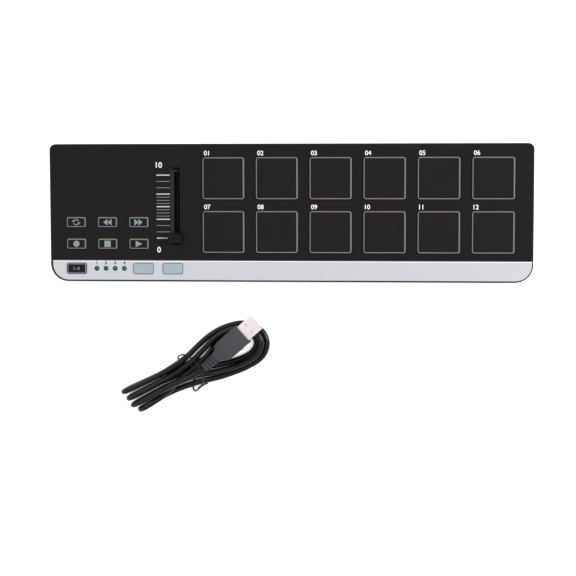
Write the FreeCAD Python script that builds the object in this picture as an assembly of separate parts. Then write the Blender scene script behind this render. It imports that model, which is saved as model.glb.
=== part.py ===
import FreeCAD, Part
import math
import os

# A slim pad controller for a desk: twelve square silicone pads, six transport keys, a fader, and a
# silver front strip with a bank key, four lamps and two more keys. Its lead lies in front of it,
# folded into a tied hank. Millimetres; +Z up, +Y to the rear; the origin is on the table, under the
# middle of the housing. Corners that repeat and small round pieces out of sight are drawn with a
# few flats.

Vector = FreeCAD.Vector

# Housing
body_width = 325.0
body_depth = 92.8
panel_height = 16.0
foot_stand = 1.5
rear_corner = 4.0
front_corner = 12.0
wall = 2.2
floor_thickness = 2.0
panel_thickness = 2.0
seam_height = 10.8
tongue_height = 1.4
tongue_root = 1.0
rib_width = 1.2
fixed_gap = 0.1
moving_gap = 0.3
seat_gap = 0.05
panel_edge_chamfer = 0.7
case_edge_chamfer = 1.6
least_corner = 0.5
inner_flat_count = 4

# Silver front strip
trim_depth = 14.0
trim_rim = 0.7
trim_thickness = 1.6
trim_groove = 0.5
trim_edge_chamfer = 0.3
shelf_thickness = 1.8
shelf_step = 1.6
trim_peg_side = 1.8
trim_peg_inset = 7.5
trim_peg_setback = 3.5
trim_peg_count = 4

# Circuit board
board_side_clearance = 3.3
board_end_clearance = 1.2
board_thickness = 1.6
board_stand = 1.5
board_corner = 6.0
board_support_inset = 12.0

# Pads: they fill the panel between the fader and the right-hand margin
pad_columns = 6
pad_rows = 2
pad_gap = 7.6
pad_side_margin = 12.6
pad_rear_margin = 9.05
pad_front_margin = 4.65
pad_corner = 1.6
pad_proud = 1.0
pad_travel = 1.0
pad_foot_border = 1.3
pad_foot_height = 1.4
pad_top_thickness = 2.4
pad_edge_chamfer = 0.45
pad_skirt = 2.5
pad_plunger_side = 12.5
small_flat_count = 2

# Keys: the transport keys stand at the left, the others in the strip
key_width = 13.2
key_depth = 7.0
key_corner = 0.9
key_proud = 0.9
key_travel = 0.7
key_foot_border = 0.6
key_foot_height = 1.2
key_edge_chamfer = 0.3
key_skirt = 1.2
key_hollow_height = 2.4
key_pill_side = 2.8
key_columns = 3
key_rows = 2
key_column_pitch = 21.35
key_row_pitch = 14.6
key_side_margin = 11.4
key_front_margin = 7.3
left_function_spacing = 45.6
right_function_spacing = 20.1
strip_key_setback = 5.88

# Bank lamps
lamp_count = 4
lamp_side_count = 12
lamp_diameter = 3.0
lamp_flange = 3.8
lamp_flange_height = 1.0
lamp_flange_drop = 0.6
lamp_pitch = 6.27
lamp_spacing = 13.7
lamp_proud = 0.3
lamp_chamfer = 0.5
lamp_lead = 0.5
lamp_lead_pitch = 2.54

# Silicone mats and the sensing sheet
mat_thickness = 2.0
mat_border = 1.0
sheet_thickness = 0.4
sheet_cell_height = 0.3
sheet_cell_side = 16.0

# Fader
fader_spacing = 24.9
pad_spacing = 18.4
fader_front_margin = 14.7
fader_travel = 42.4
trough_width = 6.7
trough_overrun = 5.4
slot_width = 2.2
lever_width = 1.2
lever_depth = 4.0
lever_bite = 2.0
cap_width = 10.3
cap_depth = 6.5
cap_clearance = 0.5
cap_height = 4.0
cap_taper = 0.45
cap_groove = 0.5
cap_groove_depth = 0.4
cap_dish_radius = 9.0
cap_dish_depth = 0.45
pot_length = 60.0
pot_width = 9.0
pot_wall = 0.8
pot_base_thickness = 1.0
carriage_depth = 7.0
carriage_height = 3.6
carriage_chamfer = 0.4

# Screws: case screws come up from below into posts, board screws go down into stands
hidden_side_count = 6
post_diameter = 5.0
boss_diameter = 8.4
stand_diameter = 6.4
case_screw_shank = 2.6
case_screw_head = 5.4
case_screw_head_height = 1.9
screw_head_clearance = 0.3
screw_shank_clearance = 0.2
screw_pocket_depth = 2.4
screw_length = 7.5
screw_end_clearance = 0.3
board_screw_shank = 2.2
board_screw_head = 4.6
board_screw_head_height = 1.7
board_screw_length = 3.6
post_side_inset = 7.5
post_rear_inset = 9.4
post_setback = 4.2
middle_post_rear_inset = 5.1
middle_post_front_inset = 8.8
middle_post_columns = 2
board_screw_front_inset = 9.9
board_screw_rear_inset = 16.4
board_screw_spacing = 10.2

# Feet
foot_side = 9.0
foot_corner = 1.5
foot_chamfer = 0.4
foot_recess = 0.8
foot_inset_x = 22.5
foot_inset_y = 11.4

# Rear socket for the lead
socket_inset = 42.5
socket_width = 7.7
socket_height = 4.0
socket_length = 9.2
socket_sheet = 0.4
socket_setback = 0.2
socket_clearance = 0.5
socket_tongue_setback = 1.2
tongue_width = 3.8
tongue_thickness = 0.9
tongue_length = 5.6
tongue_height_in_socket = 2.0

# Board parts, placed from the board's left and rear edges
chip_inset = (28.5, 26.4)
chip_size = (10.2, 7.5)
chip_height = 1.4
chip_stand = 0.15
chip_chamfer = 0.25
chip_leads = 8
chip_lead_pitch = 1.2
chip_lead_width = 0.4
chip_lead_reach = 1.1
crystal_inset = (45.5, 34.4)
crystal_size = (11.0, 4.6, 3.5)
crystal_brim = (0.4, 0.5)
capacitor_inset = (12.5, 34.4)
capacitor_count = 3
capacitor_pitch = 8.0
capacitor_diameter = 5.0
capacitor_height = 5.6
resistor_count = 8
resistor_size = (2.0, 1.25, 0.5)
resistor_pitch = 3.4
resistor_inset = (56.5, 8.4)

# Lead: one cord, folded four times at one end and looped three times at the other
cord_diameter = 4.0
cord_side_count = 6
layer_gap = 0.5
fold_radius = 4.1
hank_x = -65.5
hank_y = -107.0
hank_angle = 26.5
waist_lift = 0.85
waist_flat = 12.0
waist_end = 26.0
plug_angle = 15.0
plug_end = (6.8, -1.8, 12.5)
mini_angle = -2.0
mini_end = (17.0, 1.3, 3.35)

# Plug on the cord's first end
plug_relief_length = 11.0
plug_shoulder_length = 8.5
plug_length = 36.0
plug_width = 15.0
plug_thickness = 8.0
plug_edge_chamfer = 1.0
plug_relief_diameter = 7.4
plug_relief_start = 5.6
plug_rib_count = 4
plug_rib_depth = 0.55
relief_side_count = 10
shell_width = 12.0
shell_height = 4.5
shell_length = 11.9
shell_sheet = 0.3
shell_corner = 0.6
shell_window = (2.5, 2.0)
shell_window_place = (4.8, 2.85)
core_root_length = 2.2
core_setback = 0.4
contact_count = 4
contact_pitch = 2.3
contact_width = 1.0
contact_thickness = 0.2
contact_setback = 1.6
carrier_top = -0.15

# Small plug on the cord's other end
mini_relief_length = 5.0
mini_length = 13.0
mini_width = 8.6
mini_thickness = 6.5
mini_edge_chamfer = 1.2
mini_relief_diameter = 5.6
mini_relief_start = 5.0
mini_rib_count = 2
mini_rib_depth = 0.4
mini_shell_width = 6.8
mini_shell_height = 3.0
mini_shell_length = 6.0
mini_core_setback = 5.0

# Wire tie round the waist
tie_diameter = 0.7
tie_side_count = 4

# Derived heights and places
case_floor = foot_stand + floor_thickness
board_bottom = case_floor + board_stand
board_top = board_bottom + board_thickness
panel_underside = panel_height - panel_thickness
shelf_top = panel_height - trim_thickness
shelf_underside = shelf_top - shelf_thickness
left_x = -body_width / 2
right_x = body_width / 2
front_y = -body_depth / 2
rear_y = body_depth / 2
board_half_width = body_width / 2 - wall - board_side_clearance
board_half_depth = body_depth / 2 - wall - board_end_clearance
trim_rear_y = front_y + trim_rim + trim_depth
shelf_edge_y = trim_rear_y + shelf_step
trim_peg_y = trim_rear_y - trim_peg_setback
strip_key_y = trim_rear_y - strip_key_setback
sheet_top = board_top + sheet_thickness
pad_foot_bottom = sheet_top + sheet_cell_height + pad_travel + seat_gap
key_foot_bottom = board_top + key_travel + seat_gap
key_foot_width = key_width + 2 * key_foot_border
key_foot_depth = key_depth + 2 * key_foot_border
first_key_x = left_x + key_side_margin + key_width / 2
front_key_y = trim_rear_y + key_front_margin + key_depth / 2
rear_key_y = front_key_y + (key_rows - 1) * key_row_pitch
left_function_x = first_key_x + left_function_spacing
right_function_x = left_function_x + right_function_spacing
first_lamp_x = first_key_x + lamp_spacing
fader_x = first_key_x + (key_columns - 1) * key_column_pitch + fader_spacing
fader_low_y = trim_rear_y + fader_front_margin
fader_middle_y = fader_low_y + fader_travel / 2
pads_left = fader_x + pad_spacing
pads_right = right_x - pad_side_margin
pads_front = trim_rear_y + pad_front_margin
pads_rear = rear_y - pad_rear_margin
column_pitch = (pads_right - pads_left + pad_gap) / pad_columns
row_pitch = (pads_rear - pads_front + pad_gap) / pad_rows
pad_width = column_pitch - pad_gap
pad_depth = row_pitch - pad_gap
pad_foot_width = pad_width + 2 * pad_foot_border
pad_foot_depth = pad_depth + 2 * pad_foot_border
first_pad_x = pads_left + pad_width / 2
rear_pad_y = pads_rear - pad_depth / 2
screw_seat = foot_stand + screw_pocket_depth
socket_x = left_x + socket_inset
socket_mouth_y = rear_y - socket_setback
eighth_turn_slope = math.tan(math.radians(22.5))


def box(x0, y0, z0, x1, y1, z1):
    """Upright block between two corners."""
    return Part.makeBox(x1 - x0, y1 - y0, z1 - z0, Vector(x0, y0, z0))


def block_at(x, y, width, depth, z0, z1):
    """Upright block centred on a place."""
    return box(x - width / 2, y - depth / 2, z0, x + width / 2, y + depth / 2, z1)


def prism(wire, height):
    """Upright prism on a closed level outline."""
    return Part.Face(wire).extrude(Vector(0, 0, height))


def sided_rod(x, y, diameter, sides, z0, z1):
    """Upright rod with flat sides, inside the circle of its diameter."""
    step = 2 * math.pi / sides
    corners = []
    for number in range(sides):
        turn = (number + 0.5) * step
        corners.append(Vector(x + diameter / 2 * math.cos(turn), y + diameter / 2 * math.sin(turn), z0))
    return prism(Part.makePolygon(corners + corners[:1]), z1 - z0)


def hidden_rod(x, y, diameter, z0, z1):
    """Rod or hole of the fastenings inside the housing."""
    return sided_rod(x, y, diameter, hidden_side_count, z0, z1)


def line(start, end):
    return Part.LineSegment(start, end).toShape()


def flat_outline(x0, y0, x1, y1, front_radius, rear_radius, flats, z):
    """Closed outline of a rectangle whose corners turn in a few flats."""
    corners = (
        (x0 + front_radius, y0 + front_radius, front_radius, 180.0),
        (x1 - front_radius, y0 + front_radius, front_radius, 270.0),
        (x1 - rear_radius, y1 - rear_radius, rear_radius, 0.0),
        (x0 + rear_radius, y1 - rear_radius, rear_radius, 90.0),
    )
    points = []
    for x, y, radius, start in corners:
        for number in range(flats + 1):
            turn = math.radians(start + 90.0 * number / flats)
            points.append(Vector(x + radius * math.cos(turn), y + radius * math.sin(turn), z))
    return Part.makePolygon(points + points[:1])


def small_block(x, y, width, depth, radius, z0, z1):
    """Upright prism centred on a place, its four corners drawn with a few flats."""
    x0 = x - width / 2
    y0 = y - depth / 2
    outline = flat_outline(x0, y0, x0 + width, y0 + depth, radius, radius, small_flat_count, z0)
    return prism(outline, z1 - z0)


def round_outline(x0, y0, x1, y1, front_radius, rear_radius, z):
    """Closed outline of a rectangle with two rounded front corners and two rounded rear corners."""
    corners = (
        (x0 + front_radius, y0 + front_radius, front_radius, 180.0),
        (x1 - front_radius, y0 + front_radius, front_radius, 270.0),
        (x1 - rear_radius, y1 - rear_radius, rear_radius, 0.0),
        (x0 + rear_radius, y1 - rear_radius, rear_radius, 90.0),
    )
    arcs = []
    for x, y, radius, start in corners:
        first, middle, last = [
            Vector(x + radius * math.cos(turn), y + radius * math.sin(turn), z)
            for turn in (math.radians(start), math.radians(start + 45.0), math.radians(start + 90.0))
        ]
        arcs.append((first, Part.Arc(first, middle, last).toShape(), last))
    edges = []
    for number, (first, arc, last) in enumerate(arcs):
        edges.append(arc)
        edges.append(line(last, arcs[(number + 1) % len(arcs)][0]))
    return Part.Wire(edges)


def body_extent(inset):
    """Half width, half depth and corner radii of the housing's outline, drawn in by inset."""
    front_radius = max(front_corner - inset, least_corner)
    rear_radius = max(rear_corner - inset, least_corner)
    return body_width / 2 - inset, body_depth / 2 - inset, front_radius, rear_radius


def body_prism(inset, z0, z1):
    """Prism on the housing's own outline, drawn in by inset."""
    x, y, front_radius, rear_radius = body_extent(inset)
    return prism(round_outline(-x, -y, x, y, front_radius, rear_radius, z0), z1 - z0)


def inner_prism(inset, z0, z1):
    """The same prism with a few flats at its corners, for what lies inside the walls."""
    x, y, front_radius, rear_radius = body_extent(inset)
    outline = flat_outline(-x, -y, x, y, front_radius, rear_radius, inner_flat_count, z0)
    return prism(outline, z1 - z0)


def break_rim(shape, z, size):
    """Chamfer every edge that lies level at height z."""
    level = [e for e in shape.Edges if abs(e.BoundBox.ZMin - z) < 1e-6 and abs(e.BoundBox.ZMax - z) < 1e-6]
    return shape.makeChamfer(size, level)


def group(solids):
    return Part.makeCompound(solids)


def pad_places():
    """Column by column within each row, rear row first."""
    return [
        (first_pad_x + column * column_pitch, rear_pad_y - row * row_pitch)
        for row in range(pad_rows)
        for column in range(pad_columns)
    ]


def transport_places():
    return [
        (first_key_x + column * key_column_pitch, rear_key_y - row * key_row_pitch)
        for row in range(key_rows)
        for column in range(key_columns)
    ]


def strip_places():
    return [(x, strip_key_y) for x in (first_key_x, left_function_x, right_function_x)]


def lamp_places():
    return [(first_lamp_x + number * lamp_pitch, strip_key_y) for number in range(lamp_count)]


def foot_places():
    x = body_width / 2 - foot_inset_x
    y = body_depth / 2 - foot_inset_y
    return [(-x, -y), (x, -y), (-x, y), (x, y)]


def pad_gap_x(columns):
    """Middle of the gap to the right of so many pad columns."""
    return pads_left + columns * column_pitch - pad_gap / 2


def post_places():
    """Four posts near the corners, and two in the middle, clear of the pads."""
    x = body_width / 2 - post_side_inset
    rear = rear_y - post_rear_inset
    front = trim_rear_y + post_setback
    middle = pad_gap_x(middle_post_columns)
    return [
        (-x, rear), (x, rear), (-x, front), (x, front),
        (middle, rear_y - middle_post_rear_inset), (middle, front_y + middle_post_front_inset),
    ]


def board_screw_places():
    front = front_y + board_screw_front_inset
    return [
        (first_key_x + (key_columns - 0.5) * key_column_pitch, rear_y - board_screw_rear_inset),
        (fader_x + board_screw_spacing, fader_middle_y),
        (pad_gap_x(1), front), (pad_gap_x(pad_columns - 1), front),
    ]


def trim_peg_places():
    step = (body_width - 2 * trim_peg_inset) / (trim_peg_count - 1)
    return [(left_x + trim_peg_inset + number * step, trim_peg_y) for number in range(trim_peg_count)]


# Housing pieces


def bottom_case():
    """Tray with a chamfered under-edge, a seam tongue, bosses, board stands, ribs and recesses."""
    tray = break_rim(body_prism(0, foot_stand, seam_height), foot_stand, case_edge_chamfer)
    tongue_top = seam_height + tongue_height
    tray = tray.fuse(inner_prism(wall / 2 + fixed_gap, seam_height - tongue_root, tongue_top))
    tray = tray.cut(inner_prism(wall, case_floor, tongue_top + 1.0))
    root = case_floor - floor_thickness / 2
    inner = inner_prism(wall - fixed_gap, root, seam_height)
    for x, y in post_places():
        tray = tray.fuse(hidden_rod(x, y, boss_diameter, root, board_top).common(inner))
    for x, y in board_screw_places():
        tray = tray.fuse(hidden_rod(x, y, stand_diameter, root, board_bottom))
    rib_length = 2 * (board_half_width - board_support_inset)
    for row in range(pad_rows):
        y = rear_pad_y - row * row_pitch
        tray = tray.fuse(block_at(0, y, rib_length, rib_width, root, board_bottom))
    rib_length = 2 * (board_half_depth - board_support_inset)
    for column in range(0, pad_columns, 2):
        x = first_pad_x + column * column_pitch
        tray = tray.fuse(block_at(x, 0, rib_width, rib_length, root, board_bottom))
    head_room = case_screw_head + 2 * screw_head_clearance
    shank_room = case_screw_shank + 2 * screw_shank_clearance
    for x, y in post_places():
        tray = tray.cut(hidden_rod(x, y, head_room, foot_stand - 1.0, screw_seat))
        tray = tray.cut(hidden_rod(x, y, shank_room, screw_seat - 1.0, board_top + 1.0))
    for x, y in board_screw_places():
        screw_end = board_top - board_screw_length
        tray = tray.cut(hidden_rod(x, y, board_screw_shank, screw_end, board_bottom + 1.0))
    side = foot_side + 2 * fixed_gap
    corner = foot_corner + fixed_gap
    for x, y in foot_places():
        recess_top = foot_stand + foot_recess
        tray = tray.cut(small_block(x, y, side, side, corner, foot_stand - 1.0, recess_top))
    notch_width = socket_width + 2 * socket_clearance
    notch_floor = board_top - socket_clearance / 2
    notch = block_at(socket_x, rear_y, notch_width, 4 * wall, notch_floor, tongue_top + 1.0)
    return tray.cut(notch)


def panel_ribs():
    """Ribs under the panel that hold the silicone mats down on the board."""
    ribs = []
    bottom = sheet_top + mat_thickness + seat_gap
    top = panel_underside + 0.5
    left = pads_left - pad_gap / 2
    right = pads_right + pad_gap / 2
    middle_y = (pads_front + pads_rear) / 2
    ribs.append(box(left, middle_y - rib_width / 2, bottom, right, middle_y + rib_width / 2, top))
    for columns in range(1, pad_columns):
        ribs.append(block_at(pad_gap_x(columns), middle_y, rib_width, 2 * pad_depth, bottom, top))
    bottom = board_top + mat_thickness + seat_gap
    middle_y = (front_key_y + rear_key_y) / 2
    for column in range(key_columns - 1):
        x = first_key_x + (column + 0.5) * key_column_pitch
        ribs.append(block_at(x, middle_y, rib_width, 2 * key_depth, bottom, top))
    top = shelf_underside + 0.5
    between_keys = (left_function_x + right_function_x) / 2
    beside_lamps = (first_key_x + key_foot_width / 2 + first_lamp_x - lamp_flange / 2) / 2
    for x in (between_keys, beside_lamps):
        ribs.append(block_at(x, strip_key_y, rib_width, key_depth, bottom, top))
    return ribs


def fader_trough():
    """Hollow that narrows from the panel's surface down to the lever's slot."""
    top_low = fader_low_y - trough_overrun
    top_high = fader_low_y + fader_travel + trough_overrun
    draw_in = (trough_width - slot_width) / 2
    rings = []
    for z, inset in ((panel_underside - 0.2, draw_in), (panel_height + 0.2, 0.0)):
        half = trough_width / 2 - inset
        points = [
            Vector(fader_x - half, top_low + inset, z), Vector(fader_x + half, top_low + inset, z),
            Vector(fader_x + half, top_high - inset, z), Vector(fader_x - half, top_high - inset, z),
        ]
        rings.append(Part.makePolygon(points + points[:1]))
    return Part.makeLoft(rings, True, True)


def top_cover():
    """Black cover: panel, skirt, sunken shelf for the strip, apertures, trough, posts and ribs."""
    cover = break_rim(body_prism(0, seam_height, panel_height), panel_height, panel_edge_chamfer)
    inner = inner_prism(wall, seam_height - 1.0, panel_height)
    rear_room = box(left_x, shelf_edge_y, 0, right_x, rear_y, panel_underside)
    front_room = box(left_x, front_y, 0, right_x, shelf_edge_y, shelf_underside)
    cover = cover.cut(inner.common(rear_room)).cut(inner.common(front_room))
    cover = cover.cut(inner_prism(wall / 2, seam_height - 1.0, seam_height + tongue_height + fixed_gap))
    sunken = body_prism(trim_rim, shelf_top, panel_height + 1.0)
    sunken_rear_y = trim_rear_y + trim_groove
    cover = cover.cut(sunken.common(box(left_x, front_y, 0, right_x, sunken_rear_y, 2 * panel_height)))
    for x, y in post_places():
        underside = panel_underside if y > shelf_edge_y else shelf_underside
        cover = cover.fuse(hidden_rod(x, y, post_diameter, board_top, underside + 0.5))
        hole_top = screw_seat + screw_length + screw_end_clearance
        cover = cover.cut(hidden_rod(x, y, case_screw_shank, board_top - 1.0, hole_top))
    cover = cover.fuse(panel_ribs())
    for x, y in pad_places():
        cover = cover.cut(pad_hole(x, y))
    for x, y in transport_places():
        cover = cover.cut(key_hole(x, y, panel_underside - 0.2))
    for x, y in strip_places():
        cover = cover.cut(key_hole(x, y, shelf_underside - 0.2))
    lamps_middle_x = first_lamp_x + (lamp_count - 1) * lamp_pitch / 2
    slot_length = (lamp_count - 1) * lamp_pitch + lamp_diameter + 2 * moving_gap
    slot_depth = lamp_diameter + 2 * moving_gap
    cover = cover.cut(
        block_at(lamps_middle_x, strip_key_y, slot_length, slot_depth, shelf_underside - 1.0, panel_height)
    )
    peg_room = trim_peg_side + fixed_gap
    for x, y in trim_peg_places():
        cover = cover.cut(block_at(x, y, peg_room, peg_room, shelf_underside - 1.0, panel_height))
    return cover.cut(fader_trough()).removeSplitter()


def pad_hole(x, y):
    width = pad_width + 2 * moving_gap
    depth = pad_depth + 2 * moving_gap
    corner = pad_corner + moving_gap
    return small_block(x, y, width, depth, corner, panel_underside - 0.2, panel_height + 1.0)


def key_hole(x, y, z0):
    width = key_width + 2 * moving_gap
    depth = key_depth + 2 * moving_gap
    return small_block(x, y, width, depth, key_corner + moving_gap, z0, panel_height + 1.0)


def front_trim():
    """Silver strip with rounded front corners, seated on the cover's shelf by its pegs."""
    plate = body_prism(trim_rim + fixed_gap, shelf_top, panel_height)
    plate = plate.common(box(left_x, front_y, 0, right_x, trim_rear_y, 2 * panel_height))
    plate = break_rim(plate, panel_height, trim_edge_chamfer)
    for x, y in trim_peg_places():
        peg = block_at(x, y, trim_peg_side, trim_peg_side, shelf_underside + moving_gap, shelf_top + 0.5)
        plate = plate.fuse(peg)
    for x, y in strip_places():
        plate = plate.cut(key_hole(x, y, shelf_top - 1.0))
    for x, y in lamp_places():
        hole = lamp_diameter + fixed_gap
        plate = plate.cut(sided_rod(x, y, hole, lamp_side_count, shelf_top - 1.0, panel_height + 1.0))
    return plate


def rubber_feet():
    feet = []
    for x, y in foot_places():
        foot = small_block(x, y, foot_side, foot_side, foot_corner, 0, foot_stand + foot_recess)
        feet.append(break_rim(foot, 0, foot_chamfer))
    return group(feet)


def case_screws():
    """Screws sunk in the tray, with shanks up into the cover's posts."""
    screws = []
    for x, y in post_places():
        head = hidden_rod(x, y, case_screw_head, screw_seat - case_screw_head_height, screw_seat)
        shank = hidden_rod(x, y, case_screw_shank, screw_seat, screw_seat + screw_length)
        screws.append(head.fuse(shank))
    return group(screws)


# Board, mats and what is soldered on


def main_board():
    x = board_half_width
    y = board_half_depth
    outline = flat_outline(-x, -y, x, y, board_corner, least_corner, inner_flat_count, board_bottom)
    board = prism(outline, board_thickness)
    for x, y in post_places():
        hole = boss_diameter + 4 * fixed_gap
        board = board.cut(hidden_rod(x, y, hole, board_bottom - 1.0, board_top + 1.0))
    for x, y in board_screw_places():
        hole = board_screw_shank + 2 * screw_shank_clearance
        board = board.cut(hidden_rod(x, y, hole, board_bottom - 1.0, board_top + 1.0))
    return board


def board_screws():
    screws = []
    for x, y in board_screw_places():
        head = hidden_rod(x, y, board_screw_head, board_top, board_top + board_screw_head_height)
        shank = hidden_rod(x, y, board_screw_shank, board_top - board_screw_length, board_top)
        screws.append(head.fuse(shank))
    return group(screws)


def mat_sheet(places, width, depth, border, z0, thickness):
    """Sheet that reaches a border beyond the windows of the given places, cut clear of the posts."""
    reach_x = width / 2 + border
    reach_y = depth / 2 + border
    x0 = min(x for x, y in places) - reach_x
    x1 = max(x for x, y in places) + reach_x
    y0 = min(y for x, y in places) - reach_y
    y1 = max(y for x, y in places) + reach_y
    sheet = box(x0, y0, z0, x1, y1, z0 + thickness)
    for x, y in post_places():
        sheet = sheet.cut(hidden_rod(x, y, boss_diameter, z0 - 1.0, z0 + thickness + 1.0))
    return sheet


def window_mat(places, width, depth, z0):
    """Silicone mat with a window round each foot."""
    window_width = width + 2 * moving_gap
    window_depth = depth + 2 * moving_gap
    mat = mat_sheet(places, window_width, window_depth, mat_border, z0, mat_thickness)
    for x, y in places:
        mat = mat.cut(block_at(x, y, window_width, window_depth, z0 - 1.0, z0 + mat_thickness + 1.0))
    return mat


def pad_mat():
    return window_mat(pad_places(), pad_foot_width, pad_foot_depth, sheet_top)


def pad_sensor_sheet():
    """Thin pressure sheet under the pads, with a raised cell below each plunger."""
    width = pad_foot_width + 2 * moving_gap
    depth = pad_foot_depth + 2 * moving_gap
    sheet = mat_sheet(pad_places(), width, depth, mat_border, board_top, sheet_thickness)
    side = sheet_cell_side
    top = sheet_top + sheet_cell_height
    return sheet.fuse([block_at(x, y, side, side, board_top, top) for x, y in pad_places()])


def transport_key_mat():
    return window_mat(transport_places(), key_foot_width, key_foot_depth, board_top)


def strip_key_mat():
    """Mat of the strip's keys, with one slot for the lamps."""
    mat = window_mat(strip_places(), key_foot_width, key_foot_depth, board_top)
    middle_x = first_lamp_x + (lamp_count - 1) * lamp_pitch / 2
    length = (lamp_count - 1) * lamp_pitch + lamp_flange + 2 * moving_gap
    width = lamp_flange + 2 * moving_gap
    slot_top = board_top + mat_thickness + 1.0
    return mat.cut(block_at(middle_x, strip_key_y, length, width, board_top - 1.0, slot_top))


def bank_lamps():
    """Round lamps, each with a flange and two legs down to the board."""
    lamps = []
    flange_top = shelf_underside - lamp_flange_drop
    flange_bottom = flange_top - lamp_flange_height
    lens_top = panel_height + lamp_proud
    for x, y in lamp_places():
        lens = sided_rod(x, y, lamp_diameter, lamp_side_count, flange_bottom, lens_top)
        lens = break_rim(lens, lens_top, lamp_chamfer)
        lens = lens.fuse(block_at(x, y, lamp_flange, lamp_flange, flange_bottom, flange_top))
        for side in (-1, 1):
            leg_x = x + side * lamp_lead_pitch / 2
            lens = lens.fuse(block_at(leg_x, y, lamp_lead, lamp_lead, board_top, flange_bottom + 0.5))
        lamps.append(lens)
    return group(lamps)


def board_place(inset):
    """Place on the board, measured in from the housing's left and rear sides."""
    return left_x + inset[0], rear_y - inset[1]


def controller_chip():
    """Flat chip with leads along its two long sides."""
    x, y = board_place(chip_inset)
    length, width = chip_size
    bottom = board_top + chip_stand
    body = block_at(x, y, length, width, bottom, bottom + chip_height)
    body = break_rim(body, bottom + chip_height, chip_chamfer)
    reach = chip_lead_reach + chip_stand
    middle = (width + chip_lead_reach - chip_stand) / 2
    lead_top = board_top + 2 * chip_stand
    leads = []
    for number in range(chip_leads):
        lead_x = x + (number - (chip_leads - 1) / 2) * chip_lead_pitch
        for side in (-1, 1):
            leads.append(block_at(lead_x, y + side * middle, chip_lead_width, reach, board_top, lead_top))
    return body.fuse(leads)


def clock_crystal():
    """Flat can with rounded ends on a thin brim."""
    x, y = board_place(crystal_inset)
    length, width, height = crystal_size
    brim, brim_height = crystal_brim
    can = small_block(x, y, length, width, width / 2 - brim, board_top, board_top + height)
    length += 2 * brim
    width += 2 * brim
    return can.fuse(small_block(x, y, length, width, width / 2 - brim, board_top, board_top + brim_height))


def board_capacitors():
    x, y = board_place(capacitor_inset)
    return group([
        sided_rod(x, y + number * capacitor_pitch, capacitor_diameter, lamp_side_count,
                  board_top, board_top + capacitor_height)
        for number in range(capacitor_count)
    ])


def board_resistors():
    length, width, height = resistor_size
    x, y = board_place(resistor_inset)
    return group([
        block_at(x + number * resistor_pitch, y, length, width, board_top, board_top + height)
        for number in range(resistor_count)
    ])


def stepped_outline(width, height, inset, x, y, z):
    """Outline of the small socket: full width above, narrower below, in an upright plane at y."""
    half = width / 2 - inset
    foot = half - 0.8
    bottom = z + inset
    top = z + height - inset
    shoulder = z + 0.5 * height
    waist_z = z + 0.25 * height
    points = [
        (-half, top), (half, top), (half, shoulder), (foot, waist_z), (foot, bottom),
        (-foot, bottom), (-foot, waist_z), (-half, shoulder),
    ]
    corners = [Vector(x + across, y, up) for across, up in points]
    return Part.makePolygon(corners + corners[:1])


def socket_bar(inset, length):
    """Bar on the socket's outline, from its inner end towards the rear."""
    inner_y = socket_mouth_y - socket_length
    outline = stepped_outline(socket_width, socket_height, inset, socket_x, inner_y, board_top)
    return Part.Face(outline).extrude(Vector(0, length, 0))


def usb_socket_shell():
    """Folded sheet shell of the socket, open to the rear."""
    return socket_bar(0, socket_length).cut(socket_bar(socket_sheet, socket_length))


def usb_socket_insulator():
    """Block that fills the socket's inner end, with the tongue that carries the contacts."""
    depth = socket_length - tongue_length - socket_tongue_setback
    tongue_bottom = board_top + tongue_height_in_socket
    tongue_start = socket_mouth_y - socket_length + depth - 0.5
    tongue_end = socket_mouth_y - socket_tongue_setback
    tongue_top = tongue_bottom + tongue_thickness
    half = tongue_width / 2
    tongue = box(socket_x - half, tongue_start, tongue_bottom, socket_x + half, tongue_end, tongue_top)
    return socket_bar(socket_sheet, depth).fuse(tongue)


# Moving pieces


def button(x, y, width, depth, corner, top, chamfer, foot_bottom, foot_height, border):
    """Silicone block through the panel on a wider foot."""
    body = small_block(x, y, width, depth, corner, foot_bottom, top)
    body = break_rim(body, top, chamfer)
    foot = block_at(x, y, width + 2 * border, depth + 2 * border, foot_bottom, foot_bottom + foot_height)
    return body.fuse(foot)


def pad(x, y):
    """Silicone pad: hollow inside its skirt, with a square plunger over its cell of the sheet."""
    top = panel_height + pad_proud
    body = button(
        x, y, pad_width, pad_depth, pad_corner, top, pad_edge_chamfer,
        pad_foot_bottom, pad_foot_height, pad_foot_border,
    )
    hollow_width = pad_width - 2 * pad_skirt
    hollow_depth = pad_depth - 2 * pad_skirt
    hollow_top = top - pad_top_thickness
    body = body.cut(block_at(x, y, hollow_width, hollow_depth, pad_foot_bottom - 1.0, hollow_top))
    side = pad_plunger_side
    return body.fuse(block_at(x, y, side, side, pad_foot_bottom, hollow_top + 0.5)).removeSplitter()


def key(x, y):
    """Silicone key: hollow inside its skirt, with a contact pill in the middle."""
    body = button(
        x, y, key_width, key_depth, key_corner, panel_height + key_proud, key_edge_chamfer,
        key_foot_bottom, key_foot_height, key_foot_border,
    )
    hollow_width = key_width - 2 * key_skirt
    hollow_depth = key_depth - 2 * key_skirt
    hollow_top = key_foot_bottom + key_hollow_height
    body = body.cut(block_at(x, y, hollow_width, hollow_depth, key_foot_bottom - 1.0, hollow_top))
    side = key_pill_side
    return body.fuse(block_at(x, y, side, side, key_foot_bottom, hollow_top + 0.5)).removeSplitter()


# Fader


def slide_pot_base():
    """Board of the slide control, with its resistance track side up."""
    z0 = board_top
    return block_at(fader_x, fader_middle_y, pot_width, pot_length, z0, z0 + pot_base_thickness)


def pot_top():
    return panel_underside - moving_gap


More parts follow.
